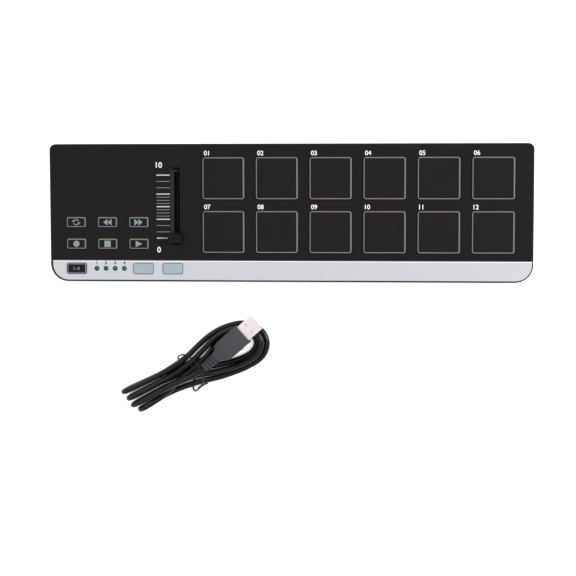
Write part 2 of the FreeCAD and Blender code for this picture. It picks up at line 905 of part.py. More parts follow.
def slide_pot_frame():
    """Folded steel channel over the base, slotted for the lever."""
    z0 = board_top + pot_base_thickness
    frame = block_at(fader_x, fader_middle_y, pot_width, pot_length, z0, pot_top())
    inside_width = pot_width - 2 * pot_wall
    inside_length = pot_length - 2 * pot_wall
    room = block_at(fader_x, fader_middle_y, inside_width, inside_length, z0 - 1.0, pot_top() - pot_wall)
    slot_length = fader_travel + lever_depth + 2 * moving_gap
    slot_bottom = pot_top() - 2 * pot_wall
    slot = block_at(fader_x, fader_middle_y, slot_width, slot_length, slot_bottom, pot_top() + 1.0)
    return frame.cut(room).cut(slot)


def carriage_bottom():
    return board_top + pot_base_thickness + moving_gap


def slider_carriage():
    """Plastic block that runs inside the channel and grips the lever."""
    width = pot_width - 2 * pot_wall - 2 * moving_gap
    z0 = carriage_bottom()
    z1 = z0 + carriage_height
    block = block_at(fader_x, fader_low_y, width, carriage_depth, z0, z1)
    upright = [e for e in block.Edges if e.BoundBox.ZLength > carriage_height / 2]
    block = block.makeChamfer(carriage_chamfer, upright)
    return block.cut(block_at(fader_x, fader_low_y, lever_width, lever_depth, z0 + 1.0, z1 + 1.0))


def slider_lever():
    top = cap_bottom() + lever_bite
    return block_at(fader_x, fader_low_y, lever_width, lever_depth, carriage_bottom() + 1.0, top)


def cap_bottom():
    return panel_height + cap_clearance


def fader_cap():
    """Tapered cap with a dished top and a pointer groove across it."""
    z0 = cap_bottom()
    z1 = z0 + cap_height
    rings = []
    for z, inset in ((z0, 0.0), (z1, cap_taper)):
        x = cap_width / 2 - inset
        y = cap_depth / 2 - inset
        rings.append(flat_outline(
            fader_x - x, fader_low_y - y, fader_x + x, fader_low_y + y,
            least_corner, least_corner, small_flat_count, z,
        ))
    cap = Part.makeLoft(rings, True, True)
    dish_z = z1 - cap_dish_depth
    dish_start = Vector(fader_x - cap_width, fader_low_y, dish_z + cap_dish_radius)
    cap = cap.cut(Part.makeCylinder(cap_dish_radius, 2 * cap_width, dish_start, Vector(1, 0, 0)))
    groove_bottom = dish_z - cap_groove_depth
    cap = cap.cut(block_at(fader_x, fader_low_y, 2 * cap_width, cap_groove, groove_bottom, z1 + 1.0))
    return cap.cut(block_at(fader_x, fader_low_y, lever_width, lever_depth, z0 - 1.0, z0 + lever_bite))


# The cord's route, in the hank's own directions: u along it, v across it, z up.
# The stations run round a loop from its lower side to its upper side. Each holds u and v of the
# outer loop, how far each next loop lies back and inside, and the heights of the three loops.

low = cord_diameter / 2 + 0.05
mid = low + cord_diameter + layer_gap
top_layer = mid + cord_diameter + layer_gap
nested = low + 3.95
loop_stations = (
    (0.0, -9.6, 0.0, 4.8, (low, low, low)),
    (10.0, -12.3, 0.0, 4.55, (low, low + 1.5, low)),
    (20.0, -13.8, 0.0, 3.9, (low, nested - 0.3, low)),
    (31.0, -14.9, 0.0, 3.5, (low, nested - 0.2, low)),
    (45.0, -13.9, 2.6, 3.1, (low, nested - 0.1, low)),
    (52.9, -6.0, 3.4, 1.4, (low, nested, low)),
    (52.9, 4.5, 3.4, -0.8, (low, nested, low)),
    (44.0, 14.1, 2.6, -2.5, (low, nested, low)),
    (30.0, 16.9, 0.0, -2.8, (low, nested, low)),
    (20.0, 16.3, 0.0, -3.85, (low, nested + 0.5, low + 1.0)),
    (10.5, 14.0, 0.0, -4.85, (low + 0.3, mid + 0.6, mid + 0.6)),
    (-1.0, 9.9, 0.0, -4.9, (low + 2.4, mid + 0.05, mid + 0.1)),
)
fold_u = (-46.4, -49.6, -50.2, -51.3)
fold_v = (-8.3, -3.4, 2.1, 7.6)
waist_v = (-6.9, -2.3, 2.3, 6.9)


def loop_points(number):
    """Points round one flat loop; number 0 is the outer one."""
    return [(u - back * number, v + inward * number, z[number]) for u, v, back, inward, z in loop_stations]


def fold_points(number):
    """Points round one upright fold, from its upper strand to its lower strand."""
    u = fold_u[number] + fold_radius
    v = fold_v[number]
    z = low + fold_radius
    r = fold_radius
    t = fold_radius * eighth_turn_slope
    return [
        (u + t, v, z + r), (u - t, v, z + r), (u - r, v, z + t),
        (u - r, v, z - t), (u - t, v, z - r), (u + t, v, z - r),
    ]


def behind(end, angle, distance, z):
    """Point a distance behind a plug's rear face, along the plug."""
    turn = math.radians(angle)
    return end[0] - distance * math.cos(turn), end[1] - distance * math.sin(turn), z


def hank_route():
    """Control points of the whole cord, from one plug to the other."""
    points = [plug_end, behind(plug_end, plug_angle, 7.5, plug_end[2])]
    points += [(-13.0, -2.6, top_layer + 0.1), (-28.0, -2.9, top_layer)]
    points += fold_points(1)
    points += [(-24.0, waist_v[1], low), (-10.0, 1.5 * waist_v[1], low)]
    points += loop_points(1)
    points += [(-13.0, 1.4 * waist_v[2], mid), (-26.0, waist_v[2], mid)]
    points += fold_points(2)
    points += [(-24.0, waist_v[2], low), (-10.0, 0.6 * waist_v[2], low)]
    points += loop_points(2)
    points += [(-13.0, -1.9, mid), (-26.0, waist_v[0] + 0.2, mid)]
    points += fold_points(0)
    points += [(-24.0, waist_v[0], low), (-10.0, 1.17 * waist_v[0], low)]
    points += loop_points(0)
    points += [(-13.0, 1.15 * waist_v[3], mid - 0.1), (-26.0, waist_v[3], mid)]
    points += fold_points(3)
    points += [(-24.0, waist_v[3], low), (-8.0, 0.94 * waist_v[3], low), (7.8, 2.9, low)]
    points += [behind(mini_end, mini_angle, 3.2, mini_end[2]), mini_end]
    ends = (points[0], points[1], points[-2], points[-1])
    return [point if point in ends else lifted(point) for point in points]


def lifted(point):
    """The waist is raised a little, because the tie passes under it."""
    u, v, z = point
    share = (waist_end - abs(u)) / (waist_end - waist_flat)
    return u, v, z + waist_lift * min(max(share, 0.0), 1.0)


def on_table(point):
    """Place in the part's frame of a point given in the hank's directions."""
    u, v, z = point
    turn = math.radians(hank_angle)
    x = hank_x + u * math.cos(turn) - v * math.sin(turn)
    y = hank_y + u * math.sin(turn) + v * math.cos(turn)
    return Vector(x, y, z)


def arc_edge(start, direction, end):
    """Arc, or line, that leaves start along a direction and reaches end."""
    chord = end - start
    reach = chord.Length
    along = chord * (1.0 / reach)
    aside = direction - along * direction.dot(along)
    if aside.Length < 1e-5:
        return line(start, end), along
    half_turn = math.atan2(aside.Length, direction.dot(along))
    aside.normalize()
    middle = start + chord * 0.5 + aside * (0.5 * reach * math.tan(half_turn / 2))
    leaving = along * (2 * direction.dot(along)) - direction
    return Part.Arc(start, middle, end).toShape(), leaving


def biarc(start, start_direction, end, end_direction):
    """Two arcs that join two places smoothly along the given directions."""
    chord = end - start
    both = start_direction + end_direction
    bend = 1.0 - start_direction.dot(end_direction)
    if bend < 1e-9:
        reach = chord.dot(chord) / (4 * chord.dot(end_direction))
    else:
        forward = chord.dot(both)
        reach = (math.sqrt(forward ** 2 + 2 * bend * chord.dot(chord)) - forward) / (2 * bend)
    join = (start + end + (start_direction - end_direction) * reach) * 0.5
    first, direction = arc_edge(start, start_direction, join)
    second, _ = arc_edge(join, direction, end)
    return [first, second]


def smooth_path(points):
    """Path through the middle of each run between control points, and through both ends."""
    runs = [(end - start) for start, end in zip(points, points[1:])]
    directions = [run * (1.0 / run.Length) for run in runs]
    places = [points[0]]
    places += [(start + end) * 0.5 for start, end in zip(points[1:-2], points[2:-1])]
    places += [points[-1]]
    headings = [directions[0]] + directions[1:-1] + [directions[-1]]
    edges = []
    for number in range(len(places) - 1):
        edges += biarc(places[number], headings[number], places[number + 1], headings[number + 1])
    return edges


def section_area(diameter, sides):
    return sides / 2 * math.sin(2 * math.pi / sides) * diameter ** 2 / 4


def pipe(edges, diameter, sides):
    """Tube with flat sides, inside the circle of its diameter, along a path."""
    first = edges[0]
    start = first.valueAt(first.FirstParameter)
    heading = first.tangentAt(first.FirstParameter)
    across = heading.cross(Vector(0, 0, 1))
    across.normalize()
    up = across.cross(heading)
    corners = []
    for number in range(sides):
        turn = 2 * math.pi * (number + 0.5) / sides
        corners.append(start + (across * math.cos(turn) + up * math.sin(turn)) * (diameter / 2))
    section = Part.makePolygon(corners + corners[:1])
    return Part.Wire(edges).makePipeShell([section], True, False)


def report_cord(edges, solid):
    """Print the cord's length, its bends and its least gap to itself."""
    length = sum(edge.Length for edge in edges)
    radii = [edge.Curve.Radius for edge in edges if hasattr(edge.Curve, "Radius")]
    points = []
    for edge in edges:
        points += edge.discretize(Number=9)[:-1]
    walked = 0.0
    stations = []
    for number, point in enumerate(points):
        if number:
            walked += (point - points[number - 1]).Length
        stations.append((walked, point))
    apart = 3.2 * cord_diameter
    least = min(
        (point - other).Length
        for number, (place, point) in enumerate(stations)
        for further, other in stations[number + 1:]
        if further - place > apart
    )
    volume = section_area(cord_diameter, cord_side_count) * length
    print("cord length %.1f, tightest bend %.2f, widest %.0f" % (length, min(radii), max(radii)))
    print("cord least gap to itself %.2f" % (least - cord_diameter))
    print("cord volume over section times length %.4f" % (solid.Volume / volume))


def usb_cord_hank():
    edges = smooth_path([on_table(point) for point in hank_route()])
    solid = pipe(edges, cord_diameter, cord_side_count)
    report_cord(edges, solid)
    return solid


def placed(shape, end, angle):
    """Move a plug drawn along +X from its cord's end face to its place on the hank."""
    moved = shape.copy()
    moved.rotate(Vector(0, 0, 0), Vector(0, 0, 1), hank_angle + angle)
    moved.translate(on_table(end))
    return moved


def mirrored_face(points, joins):
    """Flat face on an outline given for one side of the X axis and mirrored to the other."""
    upper = [Vector(x, y, 0) for x, y in points]
    edges = []
    for sign in (1, -1):
        side = [Vector(p.x, sign * p.y, 0) for p in upper]
        number = 0
        while number < len(side) - 1:
            if number in joins:
                edges.append(Part.Arc(side[number], side[number + 1], side[number + 2]).toShape())
                number += 2
            else:
                edges.append(line(side[number], side[number + 1]))
                number += 1
        for end in (0, -1):
            if sign == 1:
                edges.append(line(side[end], Vector(side[end].x, -side[end].y, 0)))
    return Part.Face(Part.Wire(Part.sortEdges(edges)[0]))


def sleeve_ring(diameter, x0, x1):
    """Short bar along X with the reliefs' few sides."""
    ring = sided_rod(0, 0, diameter, relief_side_count, x0, x1)
    ring.rotate(Vector(0, 0, 0), Vector(0, 1, 0), 90)
    return ring


def ribbed_relief(length, small_diameter, diameter, ribs, depth):
    """Ribbed sleeve behind a plug, drawn along +X; its ribs grow towards the plug."""
    pitch = length / (ribs + 0.5)
    grow = (diameter - small_diameter) / ribs
    rings = [sleeve_ring(small_diameter, 0, 0.25 * pitch)]
    for number in range(ribs):
        start = (number + 0.25) * pitch
        size = small_diameter + grow * (number + 1)
        rings.append(sleeve_ring(size, start, start + 0.6 * pitch))
        rings.append(sleeve_ring(size - 2 * depth, start + 0.6 * pitch, start + pitch))
    rings.append(sleeve_ring(diameter, length - 0.25 * pitch, length))
    return rings[0].fuse(rings[1:])


def centred_extrusion(face, thickness):
    """Plate of a thickness on both sides of a level face."""
    plate = face.extrude(Vector(0, 0, thickness))
    plate.translate(Vector(0, 0, -thickness / 2))
    return plate


def break_long_edges(shape, least_length, size):
    """Chamfer the edges that run along a plug."""
    return shape.makeChamfer(size, [e for e in shape.Edges if e.BoundBox.XLength > least_length])


def usb_plug_overmould():
    """Moulded grip that narrows through a waisted shoulder to a ribbed relief."""
    start = plug_relief_length - 0.5
    full = plug_relief_length + plug_shoulder_length
    half = plug_width / 2
    neck = plug_relief_diameter / 2
    middle_x = (start + full) / 2
    middle_y = (half + neck) / 2
    shoulder = half - neck
    outline = [
        (start, neck), (0.6 * middle_x + 0.4 * start, neck + 0.12 * shoulder), (middle_x, middle_y),
        (0.55 * full + 0.45 * middle_x, half - 0.08 * shoulder), (full, half - 0.1), (plug_length, half),
    ]
    plan = mirrored_face(outline, (0, 2))
    grip = centred_extrusion(plan, plug_thickness)
    side = mirrored_face(
        [(start, neck - 0.1), (full, plug_thickness / 2), (plug_length, plug_thickness / 2)], ()
    )
    side_block = centred_extrusion(side, 2 * plug_width)
    side_block.rotate(Vector(0, 0, 0), Vector(1, 0, 0), 90)
    grip = break_long_edges(grip.common(side_block), plug_length / 4, plug_edge_chamfer)
    sleeve = ribbed_relief(
        plug_relief_length, plug_relief_start, plug_relief_diameter, plug_rib_count, plug_rib_depth
    )
    return placed(grip.fuse(sleeve), plug_end, plug_angle)


def tube_block(width, height, radius, x0, x1):
    """Bar along X, centred on the X axis, with cut corners."""
    bar = small_block(0, 0, width, height, radius, x0, x1)
    bar.rotate(Vector(0, 0, 0), Vector(0, 0, 1), 90)
    bar.rotate(Vector(0, 0, 0), Vector(0, 1, 0), 90)
    return bar


def usb_plug_shell():
    """Sheet shell of the plug with two windows above and two below."""
    end = plug_length + shell_length
    shell = tube_block(shell_width, shell_height, shell_corner, plug_length, end)
    room_width = shell_width - 2 * shell_sheet
    room_height = shell_height - 2 * shell_sheet
    room_corner = shell_corner - shell_sheet
    shell = shell.cut(tube_block(room_width, room_height, room_corner, plug_length - 1.0, end + 1.0))
    for side in (-1, 1):
        x = plug_length + shell_window_place[0]
        y = side * shell_window_place[1]
        shell = shell.cut(block_at(x, y, shell_window[0], shell_window[1], -shell_height, shell_height))
    return placed(shell, plug_end, plug_angle)


def usb_plug_insulator():
    """Plastic core: a block at the shell's root and the flat carrier for the contacts."""
    half_width = shell_width / 2 - shell_sheet - 2 * fixed_gap
    half_height = shell_height / 2 - shell_sheet - 2 * fixed_gap
    root_end = plug_length + core_root_length
    carrier_end = plug_length + shell_length - core_setback
    root = box(plug_length, -half_width, -half_height, root_end, half_width, half_height)
    carrier = box(root_end - 0.5, -half_width, -half_height, carrier_end, half_width, carrier_top)
    return placed(root.fuse(carrier), plug_end, plug_angle)


def usb_plug_contacts():
    contacts = []
    x0 = plug_length + core_root_length
    x1 = plug_length + shell_length - contact_setback
    half = contact_width / 2
    for number in range(contact_count):
        y = (number - (contact_count - 1) / 2) * contact_pitch
        contact = box(x0, y - half, carrier_top, x1, y + half, carrier_top + contact_thickness)
        contacts.append(placed(contact, plug_end, plug_angle))
    return group(contacts)


def mini_plug_overmould():
    """Small moulded grip with a short ribbed relief."""
    start = mini_relief_length - 0.5
    half = mini_width / 2
    neck = mini_relief_diameter / 2
    plan = mirrored_face(
        [(start, neck), (start + 3.6, half), (mini_length - 1.2, half), (mini_length, half - 0.5)], ()
    )
    grip = centred_extrusion(plan, mini_thickness)
    grip = break_long_edges(grip, mini_length / 4, mini_edge_chamfer)
    sleeve = ribbed_relief(
        mini_relief_length, mini_relief_start, mini_relief_diameter, mini_rib_count, mini_rib_depth
    )
    return placed(grip.fuse(sleeve), mini_end, mini_angle)


def mini_bar(inset, length):
    """Bar on the small plug's outline, from its grip outward."""
    wire = stepped_outline(mini_shell_width, mini_shell_height, inset, 0, 0, -mini_shell_height / 2)
    wire.rotate(Vector(0, 0, 0), Vector(0, 0, 1), -90)
    bar = Part.Face(wire).extrude(Vector(length, 0, 0))
    bar.translate(Vector(mini_length, 0, 0))
    return bar


def mini_plug_shell():
    shell = mini_bar(0, mini_shell_length).cut(mini_bar(shell_sheet, mini_shell_length))
    return placed(shell, mini_end, mini_angle)


def mini_plug_insulator():
    return placed(mini_bar(shell_sheet, mini_shell_length - mini_core_setback), mini_end, mini_angle)


tie_route = (
    (2.6, -12.9, 1.0), (-1.6, -12.7, 1.0), (-5.0, -13.9, 1.2), (-8.0, -14.4, 1.4), (-8.6, -12.0, 1.2),
    (-7.2, -10.4, 0.6), (-4.6, -8.0, 0.4), (-3.4, 0.0, 0.4), (-4.4, 8.0, 0.4), (-7.2, 9.6, 0.8),
    (-8.4, 11.6, 2.6), (-6.4, 13.2, 5.4), (-2.0, 12.6, 8.4), (2.2, 8.4, 12.4), (4.6, 2.8, 15.6),
    (5.0, -2.6, 16.8), (3.9, -7.0, 13.2), (1.6, -9.9, 9.6), (-1.4, -12.4, 5.6), (-4.6, -12.9, 2.6),
)


def tube_path(points):
    """Straight runs joined by tangent arcs as large as the shorter run allows."""
    edges = []
    last = points[0]
    for before, corner, after in zip(points, points[1:], points[2:]):
        back = before - corner
        ahead = after - corner
        shorter = min(back.Length, ahead.Length)
        setback = 0.45 * shorter
        back.normalize()
        ahead.normalize()
        start = corner + back * setback
        end = corner + ahead * setback
        edges.append(line(last, start))
        edges.append(arc_edge(start, back * -1.0, end)[0])
        last = end
    edges.append(line(last, points[-1]))
    return edges


def twist_tie():
    return pipe(tube_path([on_table(point) for point in tie_route]), tie_diameter, tie_side_count)


def build():
    shapes = {
        "bottom_case": bottom_case(),
        "top_cover": top_cover(),
        "front_trim": front_trim(),
        "rubber_feet": rubber_feet(),
        "case_screws": case_screws(),
        "main_board": main_board(),
        "board_screws": board_screws(),
        "pad_sensor_sheet": pad_sensor_sheet(),
        "pad_mat": pad_mat(),
        "transport_key_mat": transport_key_mat(),
        "strip_key_mat": strip_key_mat(),
        "bank_lamps": bank_lamps(),
        "controller_chip": controller_chip(),
        "clock_crystal": clock_crystal(),
        "board_capacitors": board_capacitors(),
        "board_resistors": board_resistors(),
        "usb_socket_shell": usb_socket_shell(),
        "usb_socket_insulator": usb_socket_insulator(),
        "slide_pot_base": slide_pot_base(),
        "slide_pot_frame": slide_pot_frame(),
        "slider_carriage": slider_carriage(),
        "slider_lever": slider_lever(),
        "fader_cap": fader_cap(),
        "usb_cord_hank": usb_cord_hank(),
        "usb_plug_overmould": usb_plug_overmould(),
        "usb_plug_shell": usb_plug_shell(),
        "usb_plug_insulator": usb_plug_insulator(),
        "usb_plug_contacts": usb_plug_contacts(),
        "mini_plug_overmould": mini_plug_overmould(),
        "mini_plug_shell": mini_plug_shell(),
        "mini_plug_insulator": mini_plug_insulator(),
        "twist_tie": twist_tie(),
    }
    for number, (x, y) in enumerate(pad_places(), start=1):
        shapes["pad_%02d" % number] = pad(x, y)
    transport_names = ("loop_key", "rewind_key", "forward_key", "record_key", "stop_key", "play_key")
    for name, (x, y) in zip(transport_names, transport_places()):
        shapes[name] = key(x, y)
    for name, (x, y) in zip(("bank_key", "left_function_key", "right_function_key"), strip_places()):
        shapes[name] = key(x, y)
    return shapes


os.makedirs("parts", exist_ok=True)
for node, shape in build().items():
    shape.exportStep("parts/%s.step" % node)
    valid = all(solid.isValid() for solid in shape.Solids)
    state = "ok" if valid else "INVALID"
    print("%-22s solids %3d  volume %9.1f  %s" % (node, len(shape.Solids), shape.Volume, state))
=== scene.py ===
import math

import bmesh
import bpy
from mathutils import Euler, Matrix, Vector


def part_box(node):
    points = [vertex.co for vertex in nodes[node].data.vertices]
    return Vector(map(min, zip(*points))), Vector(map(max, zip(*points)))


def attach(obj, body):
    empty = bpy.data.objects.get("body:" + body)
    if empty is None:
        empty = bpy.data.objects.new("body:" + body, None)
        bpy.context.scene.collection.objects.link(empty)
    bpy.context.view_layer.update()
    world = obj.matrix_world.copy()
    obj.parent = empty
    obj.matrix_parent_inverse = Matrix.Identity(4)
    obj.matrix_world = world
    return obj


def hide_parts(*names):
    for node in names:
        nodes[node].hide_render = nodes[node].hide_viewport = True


# A slim pad controller with its tied lead. Lengths are in millimetres, and mm() turns them into metres.
# Only the lights' places and sizes are in metres. Places shared with the solids come from the frame.

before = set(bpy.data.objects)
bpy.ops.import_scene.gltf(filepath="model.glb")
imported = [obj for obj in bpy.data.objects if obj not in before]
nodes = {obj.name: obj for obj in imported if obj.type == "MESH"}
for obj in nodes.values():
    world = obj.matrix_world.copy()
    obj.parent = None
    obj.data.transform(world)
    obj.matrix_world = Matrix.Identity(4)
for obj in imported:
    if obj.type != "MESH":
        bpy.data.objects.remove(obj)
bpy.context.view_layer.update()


def mm(value):
    return value / 1000.0


def box_of(name):
    """A node's lowest and highest corner, in millimetres."""
    return [[round(1000.0 * value, 3) for value in corner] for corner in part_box(name)]


def top_of(name):
    return box_of(name)[1][2]


def middle_of(name):
    low, high = box_of(name)
    return (low[0] + high[0]) / 2, (low[1] + high[1]) / 2


panel_top = top_of("top_cover")
pad_top = top_of("pad_01")
key_top = top_of("loop_key")
lamp_top = top_of("bank_lamps")
ink = 0.03
edge_ink = ink / 2


# Camera and light

camera_place = (85.23, 37.49, 1086.6)
camera_turn = (4.692, -4.583, -0.268)
camera_lens = 100.2
camera_sensor = 36.0
camera_clip = (50.0, 20000.0)
light_aim = (0.0, -0.02, 0.0)
world_light = 0.36

# The floor glows less where a thing stands within contact_reach of it, a painted contact shadow: the glow
# starts where the first share of contact_span is open to the sky, and is full from the second on.
floor_half = 6000.0
floor_tone = 0.86
floor_glow = 0.70
contact_reach = 6.0
contact_span = (0.30, 0.65)


def add_camera():
    data = bpy.data.cameras.new("camera")
    data.sensor_fit = "HORIZONTAL"
    data.sensor_width = camera_sensor
    data.lens = camera_lens
    data.clip_start, data.clip_end = [mm(value) for value in camera_clip]
    camera = bpy.data.objects.new("camera", data)
    bpy.context.scene.collection.objects.link(camera)
    turn = Euler([math.radians(angle) for angle in camera_turn], "XYZ").to_matrix()
    camera.matrix_world = turn.transposed().to_4x4()
    camera.location = [mm(value) for value in camera_place]
    bpy.context.scene.camera = camera


def add_light(name, place, size, power):
    data = bpy.data.lights.new(name, "AREA")
    data.shape = "RECTANGLE"
    data.size, data.size_y = size
    data.energy = power
    light = bpy.data.objects.new(name, data)
    bpy.context.scene.collection.objects.link(light)
    light.location = place
    light.rotation_euler = (Vector(light_aim) - Vector(place)).to_track_quat("-Z", "Y").to_euler()


def add_lights():
    add_light("key_lamp", place=(1.05, 0.30, 0.85), size=(0.5, 0.5), power=21.0)
    add_light("fill_lamp", place=(-0.9, -0.5, 1.1), size=(1.2, 1.2), power=6.0)
    add_light("rear_lamp", place=(-0.55, 1.05, 0.9), size=(0.9, 0.5), power=7.0)


def combined(tree, operation, first, second):
    """Number made from two others."""
    node = tree.nodes.new("ShaderNodeMath")
    node.operation = operation
    tree.links.new(first, node.inputs[0])
    tree.links.new(second, node.inputs[1])
    return node.outputs[0]


def ranged(tree, source, span, low, high):
    """Number that goes from low to high while the source goes through the span."""
    node = tree.nodes.new("ShaderNodeMapRange")
    node.inputs["From Min"].default_value, node.inputs["From Max"].default_value = span
    node.inputs["To Min"].default_value = low
    node.inputs["To Max"].default_value = high
    tree.links.new(source, node.inputs["Value"])
    return node.outputs[0]


def seen_share(tree):
    """1 for rays that come straight from the camera, off a gloss or through glass, and 0 for the rest."""
    path = tree.nodes.new("ShaderNodeLightPath")
    share = path.outputs["Is Camera Ray"]
    for kind in ("Is Glossy Ray", "Is Transmission Ray"):
        share = combined(tree, "MAXIMUM", share, path.outputs[kind])
    return share


def add_world():
    """White to the camera and in reflections, and weaker as a light."""
    world = bpy.data.worlds.new("world")
    bpy.context.scene.world = world
    world.use_nodes = True
    tree = world.node_tree
    tree.nodes.clear()
    out = tree.nodes.new("ShaderNodeOutputWorld")
    mix = tree.nodes.new("ShaderNodeMixShader")
    tree.links.new(seen_share(tree), mix.inputs[0])
    for slot, strength in ((1, world_light), (2, 1.0)):
        sky = tree.nodes.new("ShaderNodeBackground")
        sky.inputs["Color"].default_value = (1, 1, 1, 1)
        sky.inputs["Strength"].default_value = strength
        tree.links.new(sky.outputs[0], mix.inputs[slot])
    tree.links.new(mix.outputs[0], out.inputs[0])


def floor_material():
    """White paper whose glow fades close to whatever stands on it, as painted contact shadow."""
    material = bpy.data.materials.new("floor_white")
    material.use_nodes = True
    tree = material.node_tree
    tree.nodes.clear()
    out = tree.nodes.new("ShaderNodeOutputMaterial")
    paper = tree.nodes.new("ShaderNodeBsdfDiffuse")
    paper.inputs["Color"].default_value = (floor_tone, floor_tone, floor_tone, 1)
    openness = tree.nodes.new("ShaderNodeAmbientOcclusion")
    openness.samples = 8
    openness.inputs["Distance"].default_value = mm(contact_reach)
    # The glow fades near things as painted contact shadow.
    contact_shaded_glow = ranged(tree, openness.outputs["AO"], contact_span, 0.0, floor_glow)
    glow = tree.nodes.new("ShaderNodeEmission")
    glow.inputs["Color"].default_value = (1, 1, 1, 1)
    tree.links.new(combined(tree, "MULTIPLY", seen_share(tree), contact_shaded_glow), glow.inputs["Strength"])
    both = tree.nodes.new("ShaderNodeAddShader")
    tree.links.new(paper.outputs[0], both.inputs[0])
    tree.links.new(glow.outputs[0], both.inputs[1])
    tree.links.new(both.outputs[0], out.inputs[0])
    return material


def add_floor():
    mesh = bpy.data.meshes.new("floor")
    half = mm(floor_half)
    corners = [(-half, -half, 0), (half, -half, 0), (half, half, 0), (-half, half, 0)]
    mesh.from_pydata(corners, [], [(0, 1, 2, 3)])
    floor = bpy.data.objects.new("floor", mesh)
    bpy.context.scene.collection.objects.link(floor)
    mesh.materials.append(floor_material())


# Finishes

noise_span = (0.3, 0.7)
broad_detail = 4.0
fine_detail = 3.0
rough_change = 0.12
bump_height = 0.05
coat_roughness = 0.25
worn_span = (0.52, 0.62)
worn_lift = 0.12
worn_gain = 1.5

# A face whose normal points up by less than upright_below is upright, and by more than level_above level.
# Between them it is slanted, and its tone goes by how far it leans toward the rear right: painted light
# where it leans that way, painted shade where it leans away.
upright_below = 0.3
level_above = 0.95
# Tone of the painted shade on upright faces.
wall_shade_tone = 0.006
# Direction that slanted faces lean in to get the painted light.
painted_light_direction = (1.0, 0.6, 0.0)
lean_span = (-0.25, 0.25)


def noise(tree, place, size, detail):
    node = tree.nodes.new("ShaderNodeTexNoise")
    node.inputs["Scale"].default_value = 1000.0 / size
    node.inputs["Detail"].default_value = detail
    tree.links.new(place, node.inputs["Vector"])
    return node.outputs["Fac"]


def blended(tree, share, first, second):
    """Mix of two tones, each a number, a colour or another node's output."""
    node = tree.nodes.new("ShaderNodeMix")
    node.data_type = "RGBA"
    tree.links.new(share, node.inputs["Factor"])
    for slot, source in (("A", first), ("B", second)):
        if isinstance(source, float):
            node.inputs[slot].default_value = (source, source, source, 1)
        elif isinstance(source, tuple):
            node.inputs[slot].default_value = (*source, 1)
        else:
            tree.links.new(source, node.inputs[slot])
    return node.outputs["Result"]


def stepped(tree, source, steps):
    """Share that changes at once at each step: a step is (where, share from there on)."""
    ramp = tree.nodes.new("ShaderNodeValToRGB")
    ramp.color_ramp.interpolation = "CONSTANT"
    while len(ramp.color_ramp.elements) < len(steps):
        ramp.color_ramp.elements.new(0.5)
    for element, (where, share) in zip(ramp.color_ramp.elements, steps):
        element.position = where
        element.color = (share, share, share, 1)
    tree.links.new(source, ramp.inputs[0])
    return ramp.outputs["Color"]


def shaded_by_slope(tree, tint, wall_shade, slope_light_and_shade):
    """The tint, with painted shade on upright faces and painted light and shade on slanted ones, as far as
    their settings ask.
    """
    face = tree.nodes.new("ShaderNodeNewGeometry").outputs["True Normal"]
    part = tree.nodes.new("ShaderNodeSeparateXYZ")
    tree.links.new(face, part.inputs[0])
    upward = part.outputs["Z"]
    # Painted shade on upright faces.
    if wall_shade:
        upright = stepped(tree, upward, ((0.0, wall_shade), (upright_below, 0.0)))
        tint = blended(tree, upright, tint, wall_shade_tone)
    # Painted light and shade on slanted faces, by the way they lean.
    if slope_light_and_shade:
        leaning = tree.nodes.new("ShaderNodeVectorMath")
        leaning.operation = "DOT_PRODUCT"
        leaning.inputs[1].default_value = painted_light_direction
        tree.links.new(face, leaning.inputs[0])
        side = ranged(tree, leaning.outputs["Value"], lean_span, 0.0, 1.0)
        slanted = stepped(tree, upward, ((0.0, 0.0), (upright_below, 1.0), (level_above, 0.0)))
        tint = blended(tree, slanted, tint, blended(tree, side, *slope_light_and_shade))
    return tint


def finish(name, colour, roughness, grain=0.5, bump=0.1, vary=0.06, mottle=14.0, metallic=0.0, coat=0.0,
           stretch=(1.0, 1.0, 1.0), specular=0.5, wear=0.0, wall_shade=0.0, slope_light_and_shade=None):
    """Procedural finish. grain and mottle are sizes in millimetres; vary is the share the colour changes.
    wear is how far edges that stick out turn paler. The wall setting is how far upright faces go to black,
    which is painted shade, and the slope setting gives slanted faces a painted shaded tone where they lean
    to the front left and a painted lit tone where they lean to the rear right."""
    material = bpy.data.materials.new(name)
    material.use_nodes = True
    tree = material.node_tree
    shader = tree.nodes["Principled BSDF"]
    shader.inputs["Metallic"].default_value = metallic
    shader.inputs["Coat Weight"].default_value = coat
    shader.inputs["Coat Roughness"].default_value = coat_roughness
    shader.inputs["Specular IOR Level"].default_value = specular
    scale = tree.nodes.new("ShaderNodeMapping")
    scale.inputs["Scale"].default_value = stretch
    tree.links.new(tree.nodes.new("ShaderNodeTexCoord").outputs["Object"], scale.inputs["Vector"])
    broad = noise(tree, scale.outputs[0], mottle, broad_detail)
    fine = noise(tree, scale.outputs[0], grain, fine_detail)
    darker = tuple(c * (1 - vary) for c in colour)
    lighter = tuple(min(1.0, c * (1 + vary)) for c in colour)
    tint = blended(tree, ranged(tree, broad, noise_span, 0.0, 1.0), darker, lighter)
    if wear:
        edge = tree.nodes.new("ShaderNodeNewGeometry").outputs["Pointiness"]
        worn = tuple(min(1.0, worn_lift + worn_gain * c) for c in colour)
        tint = blended(tree, ranged(tree, edge, worn_span, 0.0, wear), tint, worn)
    if wall_shade or slope_light_and_shade:
        tint = shaded_by_slope(tree, tint, wall_shade, slope_light_and_shade)
    tree.links.new(tint, shader.inputs["Base Color"])
    smoothest = roughness * (1 - rough_change)
    roughest = min(1.0, roughness * (1 + rough_change))
    tree.links.new(ranged(tree, fine, noise_span, smoothest, roughest), shader.inputs["Roughness"])
    relief = tree.nodes.new("ShaderNodeBump")
    relief.inputs["Strength"].default_value = bump
    relief.inputs["Distance"].default_value = mm(bump_height)
    tree.links.new(fine, relief.inputs["Height"])
    tree.links.new(relief.outputs[0], shader.inputs["Normal"])
    return material
